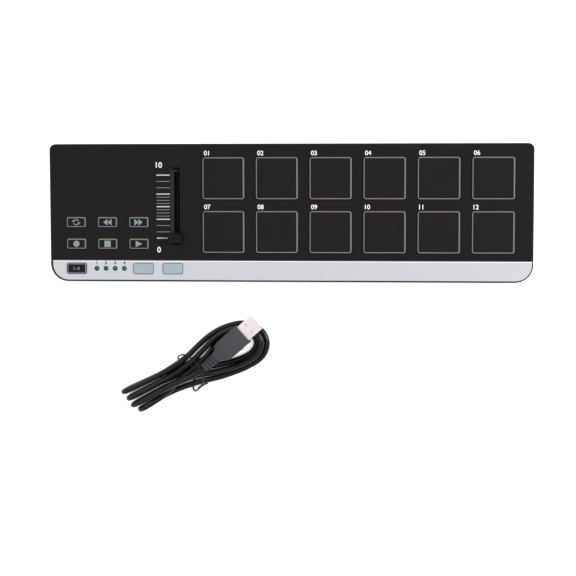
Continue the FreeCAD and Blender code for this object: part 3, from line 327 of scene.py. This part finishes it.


# Finishes of the housing and the fader
# The cover, the strip and the fader cap carry painted light and shade on slanted faces, and the strip and
# the cap painted shade on upright faces.
cover_black = finish("cover_black", (0.0072, 0.0058, 0.0066), 0.44, grain=0.35, bump=0.3, vary=0.05,
                     specular=0.09, slope_light_and_shade=(0.002, 0.018))
case_black = finish("case_black", (0.0075, 0.0066, 0.0070), 0.6, grain=0.5, bump=0.5, vary=0.08,
                    specular=0.15, wear=0.05)
strip_silver = finish("strip_silver", (0.475, 0.485, 0.51), 0.42, grain=0.18, bump=0.06, vary=0.015,
                      metallic=0.25, wall_shade=0.97, slope_light_and_shade=(0.07, 0.45))
# Paler silver of the painted highlight along the strip's rear edge.
strip_painted_highlight = finish("strip_painted_highlight", (0.86, 0.87, 0.89), 0.35, grain=0.18, bump=0.04, vary=0.01,
                     metallic=0.2)
fader_black = finish("fader_black", (0.0082, 0.0070, 0.0074), 0.42, grain=0.3, bump=0.25, vary=0.08,
                     specular=0.08, slope_light_and_shade=(0.002, 0.010), wall_shade=0.8)
foot_rubber = finish("foot_rubber", (0.012, 0.012, 0.012), 0.85, grain=0.5, bump=0.6, vary=0.12)
steel = finish("steel", (0.55, 0.55, 0.57), 0.35, grain=0.3, bump=0.1, vary=0.06, metallic=1.0)

# Finishes of the pads, keys and lamps
# The pads and keys carry painted shade on their upright sides, and the pads and transport keys painted
# light and shade on their slanted edges.
pad_rubber = finish("pad_rubber", (0.165, 0.20, 0.218), 0.62, grain=0.4, bump=0.25, vary=0.05, specular=0.3,
                    wall_shade=0.95, slope_light_and_shade=(0.03, 0.12))
key_rubber = finish("key_rubber", (0.29, 0.36, 0.40), 0.60, grain=0.35, bump=0.2, vary=0.04,
                    wall_shade=0.85)
transport_rubber = finish("transport_rubber", (0.145, 0.17, 0.185), 0.60, grain=0.35, bump=0.2, vary=0.06,
                          specular=0.3, wall_shade=0.9, slope_light_and_shade=(0.02, 0.16))
lamp_green = finish("lamp_green", (0.003, 0.065, 0.038), 0.25, grain=0.6, bump=0.05, vary=0.15, mottle=1.6,
                    specular=0.12)
# Paler green of the painted highlight on each lamp.
lamp_light = finish("lamp_light", (0.03, 0.20, 0.115), 0.25, grain=0.6, bump=0.05, vary=0.15, mottle=1.6,
                    specular=0.2)

# Finishes of the prints, one of them also used for painted shade
pad_print = finish("pad_print", (0.0066, 0.0056, 0.0062), 0.50, grain=0.45, bump=0.35, vary=0.08,
                   specular=0.10)
key_print = finish("key_print", (0.0038, 0.0056, 0.0085), 0.45, grain=0.35, bump=0.25, vary=0.06,
                   specular=0.10)
icon_print = finish("icon_print", (0.20, 0.225, 0.24), 0.60, grain=0.3, bump=0.2, vary=0.05)
label_white = finish("label_white", (0.86, 0.86, 0.86), 0.55, grain=0.2, bump=0.15, vary=0.03, mottle=3.0)
scale_grey = finish("scale_grey", (0.18, 0.18, 0.187), 0.55, grain=0.2, bump=0.15, vary=0.05, mottle=3.0)
scale_white = finish("scale_white", (0.52, 0.52, 0.53), 0.55, grain=0.2, bump=0.15, vary=0.05, mottle=3.0)
# Dark print, also used for painted shade: the lines on the strip's rear edge and left end, the gaps round
# the lamps and the grooves of the strain reliefs.
dark_print_and_shade = finish("dark_print_and_shade", (0.02, 0.02, 0.022), 0.55, grain=0.2, bump=0.15, vary=0.05, mottle=3.0)

# Finishes of the lead
cord_black = finish("cord_black", (0.0042, 0.0040, 0.0058), 0.26, grain=0.6, bump=0.10, vary=0.12,
                    mottle=9.0, specular=0.20)
# The plug bodies carry painted shade on their upright sides.
mould_grey = finish("mould_grey", (0.035, 0.034, 0.040), 0.55, grain=0.3, bump=0.4, vary=0.06,
                    specular=0.22, wall_shade=0.6, wear=0.1)
rib_grey = finish("rib_grey", (0.035, 0.034, 0.040), 0.55, grain=0.3, bump=0.4, vary=0.06, specular=0.22)
plug_nickel = finish("plug_nickel", (0.665, 0.61, 0.612), 0.40, grain=0.25, bump=0.06, vary=0.03,
                     metallic=0.35, stretch=(1.0, 1.0, 6.0))
gold = finish("gold", (0.90, 0.82, 0.70), 0.30, grain=0.3, bump=0.08, vary=0.05, metallic=0.2)
pale_plastic = finish("pale_plastic", (0.76, 0.72, 0.715), 0.5, grain=0.4, bump=0.15, vary=0.04)
tie_black = finish("tie_black", (0.005, 0.005, 0.005), 0.42, grain=0.3, bump=0.3, vary=0.1, specular=0.16)

# Finishes inside the housing
board_green = finish("board_green", (0.02, 0.13, 0.05), 0.35, grain=0.8, bump=0.15, vary=0.15, coat=0.3)
film = finish("film", (0.55, 0.47, 0.33), 0.35, grain=0.6, bump=0.1, vary=0.08)
pot_steel = finish("pot_steel", (0.03, 0.03, 0.03), 0.5, grain=0.3, bump=0.1, vary=0.08, metallic=0.3,
                   specular=0.2)
track_brown = finish("track_brown", (0.012, 0.009, 0.007), 0.5, grain=0.6, bump=0.2, vary=0.12,
                     specular=0.1)
chip_black = finish("chip_black", (0.015, 0.015, 0.015), 0.55, grain=0.2, bump=0.3, vary=0.1)
can_bright = finish("can_bright", (0.68, 0.68, 0.70), 0.28, grain=0.3, bump=0.06, vary=0.05, metallic=1.0)

node_finishes = {
    "bottom_case": case_black,
    "top_cover": cover_black,
    "front_trim": strip_silver,
    "rubber_feet": foot_rubber,
    "case_screws": steel,
    "main_board": board_green,
    "board_screws": steel,
    "pad_sensor_sheet": film,
    "pad_mat": pad_rubber,
    "transport_key_mat": key_rubber,
    "strip_key_mat": key_rubber,
    "bank_lamps": lamp_green,
    "controller_chip": chip_black,
    "clock_crystal": steel,
    "board_capacitors": can_bright,
    "board_resistors": chip_black,
    "usb_socket_shell": steel,
    "usb_socket_insulator": chip_black,
    "slide_pot_base": track_brown,
    "slide_pot_frame": pot_steel,
    "slider_carriage": chip_black,
    "slider_lever": pot_steel,
    "fader_cap": fader_black,
    "left_function_key": key_rubber,
    "right_function_key": key_rubber,
    "usb_cord_hank": cord_black,
    "usb_plug_overmould": mould_grey,
    "usb_plug_shell": plug_nickel,
    "usb_plug_insulator": pale_plastic,
    "usb_plug_contacts": gold,
    "mini_plug_overmould": mould_grey,
    "mini_plug_shell": plug_nickel,
    "mini_plug_insulator": chip_black,
    "twist_tie": tie_black,
}


def dress_nodes():
    """Gives each node its finish: pads and keys that the table doesn't name have one by kind."""
    for name, node in nodes.items():
        by_kind = transport_rubber if name.endswith("_key") else pad_rubber
        node.data.materials.clear()
        node.data.materials.append(node_finishes.get(name, by_kind))


# Making printed pieces, and pieces of painted shade and highlight


def piece(name, mesh, body, material):
    mesh.materials.clear()
    mesh.materials.append(material)
    thing = bpy.data.objects.new(name, mesh)
    bpy.context.scene.collection.objects.link(thing)
    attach(thing, body)
    return thing


def plates(name, outlines, z, body, material, thickness=ink):
    """Thin printed shapes, also used for painted shade and highlights: each outline is a list of (x, y) in
    millimetres, counterclockwise.
    """
    shape = bmesh.new()
    for outline in outlines:
        lower = [shape.verts.new((mm(x), mm(y), mm(z))) for x, y in outline]
        upper = [shape.verts.new((mm(x), mm(y), mm(z + thickness))) for x, y in outline]
        shape.faces.new(upper)
        shape.faces.new(lower[::-1])
        count = len(outline)
        for number in range(count):
            after = (number + 1) % count
            shape.faces.new((lower[number], lower[after], upper[after], upper[number]))
    mesh = bpy.data.meshes.new(name)
    shape.to_mesh(mesh)
    shape.free()
    return piece(name, mesh, body, material)


def text_mesh(name, text, weight):
    """Flat mesh of a text in the built-in font, at that font's own size."""
    curve = bpy.data.curves.new(name + "_outline", "FONT")
    curve.body = text
    curve.offset = weight
    curve.resolution_u = 6
    source = bpy.data.objects.new(name + "_outline", curve)
    bpy.context.scene.collection.objects.link(source)
    bpy.context.view_layer.update()
    mesh = bpy.data.meshes.new_from_object(source.evaluated_get(bpy.context.evaluated_depsgraph_get()))
    bpy.data.objects.remove(source)
    return mesh


def words(name, text, x, y, height, z, body, material, weight=0.0, centred=False):
    """Printed digits whose lower left corner, or lower middle, lies at (x, y)."""
    mesh = text_mesh(name, text, weight)
    low_x = min(v.co.x for v in mesh.vertices)
    high_x = max(v.co.x for v in mesh.vertices)
    low_y = min(v.co.y for v in mesh.vertices)
    high_y = max(v.co.y for v in mesh.vertices)
    scale = height / (high_y - low_y)
    start = x - scale * (high_x - low_x) / 2 if centred else x
    for v in mesh.vertices:
        v.co = (mm(start + scale * (v.co.x - low_x)), mm(y + scale * (v.co.y - low_y)), mm(z + ink))
    shape = bmesh.new()
    shape.from_mesh(mesh)
    for made in bmesh.ops.extrude_face_region(shape, geom=shape.faces[:])["geom"]:
        if isinstance(made, bmesh.types.BMVert):
            made.co.z -= mm(ink)
    for face in shape.faces:
        face.smooth = False
    bmesh.ops.recalc_face_normals(shape, faces=shape.faces[:])
    shape.to_mesh(mesh)
    shape.free()
    return piece(name, mesh, body, material)


# Outlines


def on_circle(x, y, radius, angle):
    return x + radius * math.cos(angle), y + radius * math.sin(angle)


def disc(x, y, radius, steps=32):
    return [on_circle(x, y, radius, 2 * math.pi * step / steps) for step in range(steps)]


def ring(x, y, radius, width, start, end, steps=18):
    """Band of a circle between two angles in degrees."""
    angles = [math.radians(start + (end - start) * step / steps) for step in range(steps + 1)]
    outer = [on_circle(x, y, radius + width / 2, angle) for angle in angles]
    inner = [on_circle(x, y, radius - width / 2, angle) for angle in angles]
    return outer + inner[::-1]


def rectangle(left, front, right, rear):
    return [(left, front), (right, front), (right, rear), (left, rear)]


def rounded(x, y, width, depth, radius, steps=6):
    """Rectangle with round corners about a middle."""
    points = []
    for corner in range(4):
        centre_x = x + (width / 2 - radius) * (1 if corner in (0, 3) else -1)
        centre_y = y + (depth / 2 - radius) * (1 if corner in (0, 1) else -1)
        for step in range(steps + 1):
            points.append(on_circle(centre_x, centre_y, radius, (corner + step / steps) * math.pi / 2))
    return points


def triangle(a, b, c):
    """The three corners, put in counterclockwise order."""
    turn = (b[0] - a[0]) * (c[1] - a[1]) - (b[1] - a[1]) * (c[0] - a[0])
    return [a, b, c] if turn > 0 else [a, c, b]


def pointer(x, y, width, height):
    """Triangle that points right, or left where width is negative; x is its flat side."""
    return triangle((x, y - height / 2), (x + width, y), (x, y + height / 2))


# Prints on the pads

pad_count = 12
pad_print_side = 26.6
pad_print_extra_depth = 0.15
pad_print_shift = 0.1
pad_print_corner = 0.9
label_left = 13.0
label_up = 15.35
label_height = 3.1
label_weight = 0.012


def print_pads():
    for number in range(1, pad_count + 1):
        name = "pad_%02d" % number
        x, y = middle_of(name)
        depth = pad_print_side + pad_print_extra_depth
        outline = rounded(x, y + pad_print_shift, pad_print_side, depth, pad_print_corner)
        plates(name + "_print", [outline], pad_top, name + "_body", pad_print)
        words(name + "_label", "%02d" % number, x - label_left, y + label_up, label_height, panel_top,
              "controller", label_white, label_weight)


# Prints on the keys

key_print_size = (11.5, 5.4)
key_print_corner = 0.3
icon_height = 4.4
arrow_width = 2.9
arrow_gap = 0.1
play_width = 4.5
play_left = 2.1
record_radius = 2.1
stop_side = 4.3
stop_corner = 0.15
loop_radius = 1.75
loop_width = 0.55
loop_sweep = 130.0
loop_arrowhead = ((-3.0, 0.15), (-0.5, 0.35), (-1.9, 1.5))
range_down = 1.3
range_height = 2.6


def loop_icon(x, y):
    """Two arcs that run round a circle, each with its arrowhead."""
    arcs = [ring(x, y, loop_radius, loop_width, start, start + loop_sweep) for start in (20.0, 200.0)]
    heads = []
    for side in (1, -1):
        heads.append(triangle(*[(x + side * across, y + side * up) for across, up in loop_arrowhead]))
    return arcs + heads


def rewind_icon(x, y):
    return [pointer(x + start, y, -arrow_width, icon_height) for start in (arrow_gap, arrow_width)]


def forward_icon(x, y):
    return [pointer(x - start, y, arrow_width, icon_height) for start in (arrow_width, arrow_gap)]


def record_icon(x, y):
    return [disc(x, y, record_radius)]


def stop_icon(x, y):
    return [rounded(x, y, stop_side, stop_side, stop_corner)]


def play_icon(x, y):
    return [pointer(x - play_left, y, play_width, icon_height)]


key_icons = {
    "loop_key": loop_icon,
    "rewind_key": rewind_icon,
    "forward_key": forward_icon,
    "record_key": record_icon,
    "stop_key": stop_icon,
    "play_key": play_icon,
}


def print_key(name):
    """Dark panel on a key; gives back the key's middle."""
    x, y = middle_of(name)
    plates(name + "_print", [rounded(x, y, *key_print_size, key_print_corner)], key_top, name + "_body",
           key_print)
    return x, y


def print_keys():
    for name, icon in key_icons.items():
        x, y = print_key(name)
        plates(name + "_icon", icon(x, y), key_top + ink, name + "_body", icon_print)
    x, y = print_key("bank_key")
    words("bank_key_range", "1-4", x, y - range_down, range_height, key_top + ink, "bank_key_body",
          icon_print, centred=True)


# Prints on the panel

fader_travel = 42.4
scale_steps = 20
scale_x = -85.1
scale_length = 9.0
long_marks = (0, 6, 10, 14, 20)
short_marks = (2, 4, 7, 8, 9, 11, 12, 13, 16, 18)
long_mark_width = 0.68
short_mark_width = 0.40
mark_corner = 0.1
scale_digit_height = 3.8
scale_top_place = (-89.9, 30.3)
scale_bottom_place = (-89.4, -26.7)


def scale_marks(steps, width):
    """Marks beside the fader, at steps of its travel."""
    start = middle_of("fader_cap")[1]
    places = [start + fader_travel * step / scale_steps for step in steps]
    return [rounded(scale_x, y, scale_length, width, mark_corner, 2) for y in places]


def print_scale():
    long_bars = scale_marks(long_marks, long_mark_width)
    plates("scale_long_marks", long_bars, panel_top, "controller", scale_white)
    short_bars = scale_marks(short_marks, short_mark_width)
    plates("scale_short_marks", short_bars, panel_top, "controller", scale_grey)
    ends = (("scale_top", "10", scale_top_place), ("scale_bottom", "0", scale_bottom_place))
    for name, text, place in ends:
        words(name, text, *place, scale_digit_height, panel_top, "controller", label_white, label_weight)


# Painted shadow and highlight lines on the strip, and the dark band at its left end
edge_shadow = 0.65
edge_highlight = 0.5
edge_inset = 0.35
end_corner = (-150.5, -34.4)
end_reach = 10.9
end_turn = 85.0
end_width = 0.08


def strip_end_band(rear):
    """Dark band inside the strip's left end, which narrows round the front corner: the cover's black rim
    there, widened with painted shade.
    """
    x, y = end_corner
    outer = [(x - end_reach, rear)]
    inner = [(x - end_reach + edge_shadow, rear)]
    steps = 16
    for step in range(steps + 1):
        share = step / steps
        angle = math.radians(180.0 + end_turn * share)
        width = edge_shadow + (end_width - edge_shadow) * share
        outer.append(on_circle(x, y, end_reach, angle))
        inner.append(on_circle(x, y, end_reach - width, angle))
    return outer + inner[::-1]


def print_strip_edge():
    """A painted shadow line and a painted highlight line along the strip's rear edge, and a dark band round
    its left end.
    """
    low, high = box_of("front_trim")
    left, right, rear = low[0] + edge_inset, high[0] - edge_inset, high[1]
    between = rear - edge_shadow
    outlines = (
        ("strip_edge_shadow", rectangle(left, between, right, rear), dark_print_and_shade),
        ("strip_edge_painted_highlight", rectangle(left, between - edge_highlight, right, between), strip_painted_highlight),
        ("strip_end_shadow", strip_end_band(between), dark_print_and_shade),
    )
    for name, outline, material in outlines:
        plates(name, [outline], panel_top, "controller", material, edge_ink)


# Prints round the lamps, with painted shade in their gaps and painted highlights on them
lamp_count = 4
lamp_digit_up = 2.8
lamp_digit_height = 2.15
lamp_digit_weight = 0.045
# The ring in the gap round each lamp is painted shade.
lamp_gap_shade_radius = 1.57
lamp_gap_shade_width = 0.2
lamp_gap_shade_split = 1.0
# The lamp's lighter middle is a painted highlight, set off toward the rear right.
lamp_highlight_shift = (0.15, 0.1)
lamp_highlight_radius = 0.65


def print_lamps():
    """Each lamp's printed digit, the painted shade in the gap round it in two halves, and a painted
    highlight on its middle.
    """
    low, high = box_of("bank_lamps")
    radius = (high[1] - low[1]) / 2
    pitch = (high[0] - low[0] - 2 * radius) / (lamp_count - 1)
    y = low[1] + radius
    for number in range(1, lamp_count + 1):
        x = low[0] + radius + pitch * (number - 1)
        words("lamp_%d" % number, str(number), x, y + lamp_digit_up, lamp_digit_height, panel_top,
              "controller", dark_print_and_shade, lamp_digit_weight, centred=True)
        halves = []
        for start in (lamp_gap_shade_split, 180.0 + lamp_gap_shade_split):
            stop = start + 180.0 - 2 * lamp_gap_shade_split
            halves.append(ring(x, y, lamp_gap_shade_radius, lamp_gap_shade_width, start, stop))
        plates("lamp_gap_%d" % number, halves, panel_top, "controller", dark_print_and_shade)
        highlight_disc = disc(x + lamp_highlight_shift[0], y + lamp_highlight_shift[1], lamp_highlight_radius, 20)
        plates("lamp_heart_%d" % number, [highlight_disc], lamp_top, "controller", lamp_light)


# The lead. Its places are (u, v, z): along the hank, across it and up.

hank_place = (-65.5, -107.0)
hank_turn = math.radians(26.5)
cord_diameter = 4.0
fold_radius = 4.1
low_z = cord_diameter / 2 + 0.05
mid_z = low_z + 4.5
top_z = mid_z + 4.5
nested_z = low_z + 3.95
waist_v = (-6.9, -2.3, 2.3, 6.9)
fold_places = ((-46.4, -8.3), (-49.6, -3.4), (-50.2, 2.1), (-51.3, 7.6))
lift_height = 0.85
lift_end = 26.0
lift_fade = 14.0
plug_end = (6.8, -1.8, 12.5)
plug_turn = math.radians(15.0)
plug_lead_in = 7.5
mini_end = (17.0, 1.3, 3.35)
mini_turn = math.radians(-2.0)
mini_lead_in = 3.2

# Stations round the loops: (u, v) of the outermost loop, how far each next loop lies back and inward,
# and the height of each of the three.
loop_stations = (
    (0.0, -9.6, 0.0, 4.8, (low_z, low_z, low_z)),
    (10.0, -12.3, 0.0, 4.55, (low_z, low_z + 1.5, low_z)),
    (20.0, -13.8, 0.0, 3.9, (low_z, nested_z - 0.3, low_z)),
    (31.0, -14.9, 0.0, 3.5, (low_z, nested_z - 0.2, low_z)),
    (45.0, -13.9, 2.6, 3.1, (low_z, nested_z - 0.1, low_z)),
    (52.9, -6.0, 3.4, 1.4, (low_z, nested_z, low_z)),
    (52.9, 4.5, 3.4, -0.8, (low_z, nested_z, low_z)),
    (44.0, 14.1, 2.6, -2.5, (low_z, nested_z, low_z)),
    (30.0, 16.9, 0.0, -2.8, (low_z, nested_z, low_z)),
    (20.0, 16.3, 0.0, -3.85, (low_z, nested_z + 0.5, low_z + 1.0)),
    (10.5, 14.0, 0.0, -4.85, (low_z + 0.3, mid_z + 0.6, mid_z + 0.6)),
    (-1.0, 9.9, 0.0, -4.9, (low_z + 2.4, mid_z + 0.05, mid_z + 0.1)),
)


def on_table(point):
    """Place on the table, in millimetres, of a place on the lead."""
    u, v, z = point
    x = hank_place[0] + u * math.cos(hank_turn) - v * math.sin(hank_turn)
    y = hank_place[1] + u * math.sin(hank_turn) + v * math.cos(hank_turn)
    return x, y, z


def in_metres(route):
    return [tuple(mm(value) for value in on_table(point)) for point in route]


def loop_points(number):
    return [(u - back * number, v + inward * number, z[number]) for u, v, back, inward, z in loop_stations]


def fold_points(number):
    """Half turn from an upper strand down to a lower one, along corners of an octagon."""
    u, v = fold_places[number]
    u += fold_radius
    z = low_z + fold_radius
    far = fold_radius
    near = fold_radius * math.tan(math.radians(22.5))
    corners = ((near, far), (-near, far), (-far, near), (-far, -near), (-near, -far), (near, -far))
    return [(u + along, v, z + up) for along, up in corners]


def behind(end, turn, distance):
    """Place on a plug's axis, behind the end where the cord leaves it."""
    return end[0] - distance * math.cos(turn), end[1] - distance * math.sin(turn), end[2]


def lifted(point):
    """The strands rise a little where the tie's wire runs under them."""
    u, v, z = point
    share = (lift_end - abs(u)) / lift_fade
    return u, v, z + lift_height * min(max(share, 0.0), 1.0)


def hank_route():
    """The cord's line from the big plug, over four folds and round three loops, to the small plug."""
    start = [plug_end, behind(plug_end, plug_turn, plug_lead_in)]
    points = [(-13.0, -2.6, top_z + 0.1), (-28.0, -2.9, top_z)]
    points += fold_points(1)
    points += [(-24.0, waist_v[1], low_z), (-10.0, 1.5 * waist_v[1], low_z)]
    points += loop_points(1)
    points += [(-13.0, 1.4 * waist_v[2], mid_z), (-26.0, waist_v[2], mid_z)]
    points += fold_points(2)
    points += [(-24.0, waist_v[2], low_z), (-10.0, 0.6 * waist_v[2], low_z)]
    points += loop_points(2)
    points += [(-13.0, -1.9, mid_z), (-26.0, waist_v[0] + 0.2, mid_z)]
    points += fold_points(0)
    points += [(-24.0, waist_v[0], low_z), (-10.0, 1.17 * waist_v[0], low_z)]
    points += loop_points(0)
    points += [(-13.0, 1.15 * waist_v[3], mid_z - 0.1), (-26.0, waist_v[3], mid_z)]
    points += fold_points(3)
    points += [(-24.0, waist_v[3], low_z), (-8.0, 0.94 * waist_v[3], low_z), (7.8, 2.9, low_z)]
    end = [behind(mini_end, mini_turn, mini_lead_in), mini_end]
    return start + [lifted(point) for point in points] + end


# The wire tie's middle line
tie_diameter = 1.0
tie_route = (
    (2.6, -12.9, 1.0), (-1.6, -12.7, 1.0), (-5.0, -13.9, 1.2), (-8.0, -14.4, 1.4), (-8.6, -12.0, 1.2),
    (-7.2, -10.4, 0.6), (-4.6, -8.0, 0.51), (-3.4, 0.0, 0.51), (-4.4, 8.0, 0.51), (-7.2, 9.6, 0.8),
    (-8.4, 11.6, 2.6), (-6.4, 13.2, 5.4), (-2.0, 12.6, 8.4), (2.2, 8.4, 12.4), (4.6, 2.8, 15.6),
    (5.0, -2.6, 16.8), (3.9, -7.0, 13.2), (1.6, -9.9, 9.6), (-1.4, -12.4, 5.6), (-4.6, -12.9, 2.6),
)


def smooth_line(name, route, diameter, material):
    """Round wire whose line is a NURBS spline with the route as its control points."""
    curve = bpy.data.curves.new(name, "CURVE")
    curve.dimensions = "3D"
    curve.bevel_depth = mm(diameter / 2)
    curve.bevel_resolution = 6
    curve.resolution_u = 10
    curve.use_fill_caps = True
    spline = curve.splines.new("NURBS")
    spline.points.add(len(route) - 1)
    for point, place in zip(spline.points, route):
        point.co = (*place, 1.0)
    spline.order_u = 3
    spline.use_endpoint_u = True
    curve.materials.append(material)
    line = bpy.data.objects.new(name, curve)
    bpy.context.scene.collection.objects.link(line)
    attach(line, "controller")
    return line


def add_tie():
    tie = smooth_line("tie_wire", in_metres(tie_route), tie_diameter, tie_black)
    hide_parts("twist_tie")
    return tie


def add_cord(tie):
    route = in_metres(hank_route())
    cord = smooth_line("usb_cord", route, cord_diameter, cord_black)
    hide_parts("usb_cord_hank")


# The plugs

window_x = 40.8
window_y = 2.85
window_reach = 1.35
window_depth = 0.75
rib_lead = 0.25
rib_share = 0.6
groove_cover = 0.06

# Half of a rib's outline: how far in from its side, and how high over the sleeve's own rib
rib_edge = ((-0.12, -0.3), (-0.08, -0.1), (0.0, 0.03), (0.25, 0.12))


def on_plug(x, y, end, turn):
    """Place on the table, in millimetres, of a point given along and across a plug."""
    u = end[0] + x * math.cos(turn) - y * math.sin(turn)
    v = end[1] + x * math.sin(turn) + y * math.cos(turn)
    return on_table((u, v, end[2]))[:2]


def add_window_backs():
    """Pale plastic seen close behind the shell's two upper windows."""
    outlines = []
    for middle in (-window_y, window_y):
        corners = rectangle(window_x - window_reach, middle - window_reach,
                            window_x + window_reach, middle + window_reach)
        outlines.append([on_plug(x, y, plug_end, plug_turn) for x, y in corners])
    z = top_of("usb_plug_shell") - window_depth
    plates("plug_window_backs", outlines, z, "controller", pale_plastic)


def turned(name, profiles, end, turn, material, sides=32):
    """Round rings on a plug's axis: each profile is a list of (distance along it, radius)."""
    shape = bmesh.new()
    for profile in profiles:
        rows = []
        for x, radius in profile:
            row = []
            for side in range(sides):
                across, up = on_circle(0.0, end[2], radius, 2 * math.pi * side / sides)
                place = on_plug(x, across, end, turn)
                row.append(shape.verts.new((mm(place[0]), mm(place[1]), mm(up))))
            rows.append(row)
        for first, second in zip(rows, rows[1:]):
            for side in range(sides):
                after = (side + 1) % sides
                shape.faces.new((first[side], first[after], second[after], second[side]))
        shape.faces.new(rows[0])
        shape.faces.new(rows[-1])
    bmesh.ops.recalc_face_normals(shape, faces=shape.faces[:])
    for face in shape.faces:
        is_end = len(face.verts) == sides
        face.smooth = not is_end
    mesh = bpy.data.meshes.new(name)
    shape.to_mesh(mesh)
    shape.free()
    return piece(name, mesh, "controller", material)


def add_relief(name, end, turn, length, diameters, ribs, depth):
    """Round ribs, and the grooves between them in painted shade, over a strain relief's few-sided sleeve.
    """
    pitch = length / (ribs + 0.5)
    small, large = diameters
    rib_profiles = []
    groove_profiles = []
    for number in range(ribs):
        start = (number + rib_lead) * pitch
        stop = start + rib_share * pitch
        radius = (small + (large - small) * (number + 1) / ribs) / 2
        near = [(start + inward, radius + up) for inward, up in rib_edge]
        far = [(stop - inward, radius + up) for inward, up in rib_edge[::-1]]
        rib_profiles.append(near + far)
        bottom = radius - depth + groove_cover
        groove_profiles.append([(stop, bottom), (start + pitch, bottom)])
    turned(name + "_ribs", rib_profiles, end, turn, rib_grey)
    # The groove rings are dark as painted shade.
    turned(name + "_groove_shade", groove_profiles, end, turn, dark_print_and_shade)


def add_reliefs():
    add_relief("plug_relief", plug_end, plug_turn, length=11.0, diameters=(5.6, 7.4), ribs=4, depth=0.55)
    add_relief("mini_relief", mini_end, mini_turn, length=5.0, diameters=(5.0, 5.6), ribs=2, depth=0.4)


bpy.context.scene.view_settings.view_transform = "Standard"
add_camera()
add_world()
add_floor()
add_lights()
dress_nodes()
print_pads()
print_keys()
print_scale()
print_strip_edge()
print_lamps()
add_window_backs()
add_reliefs()
add_cord(add_tie())
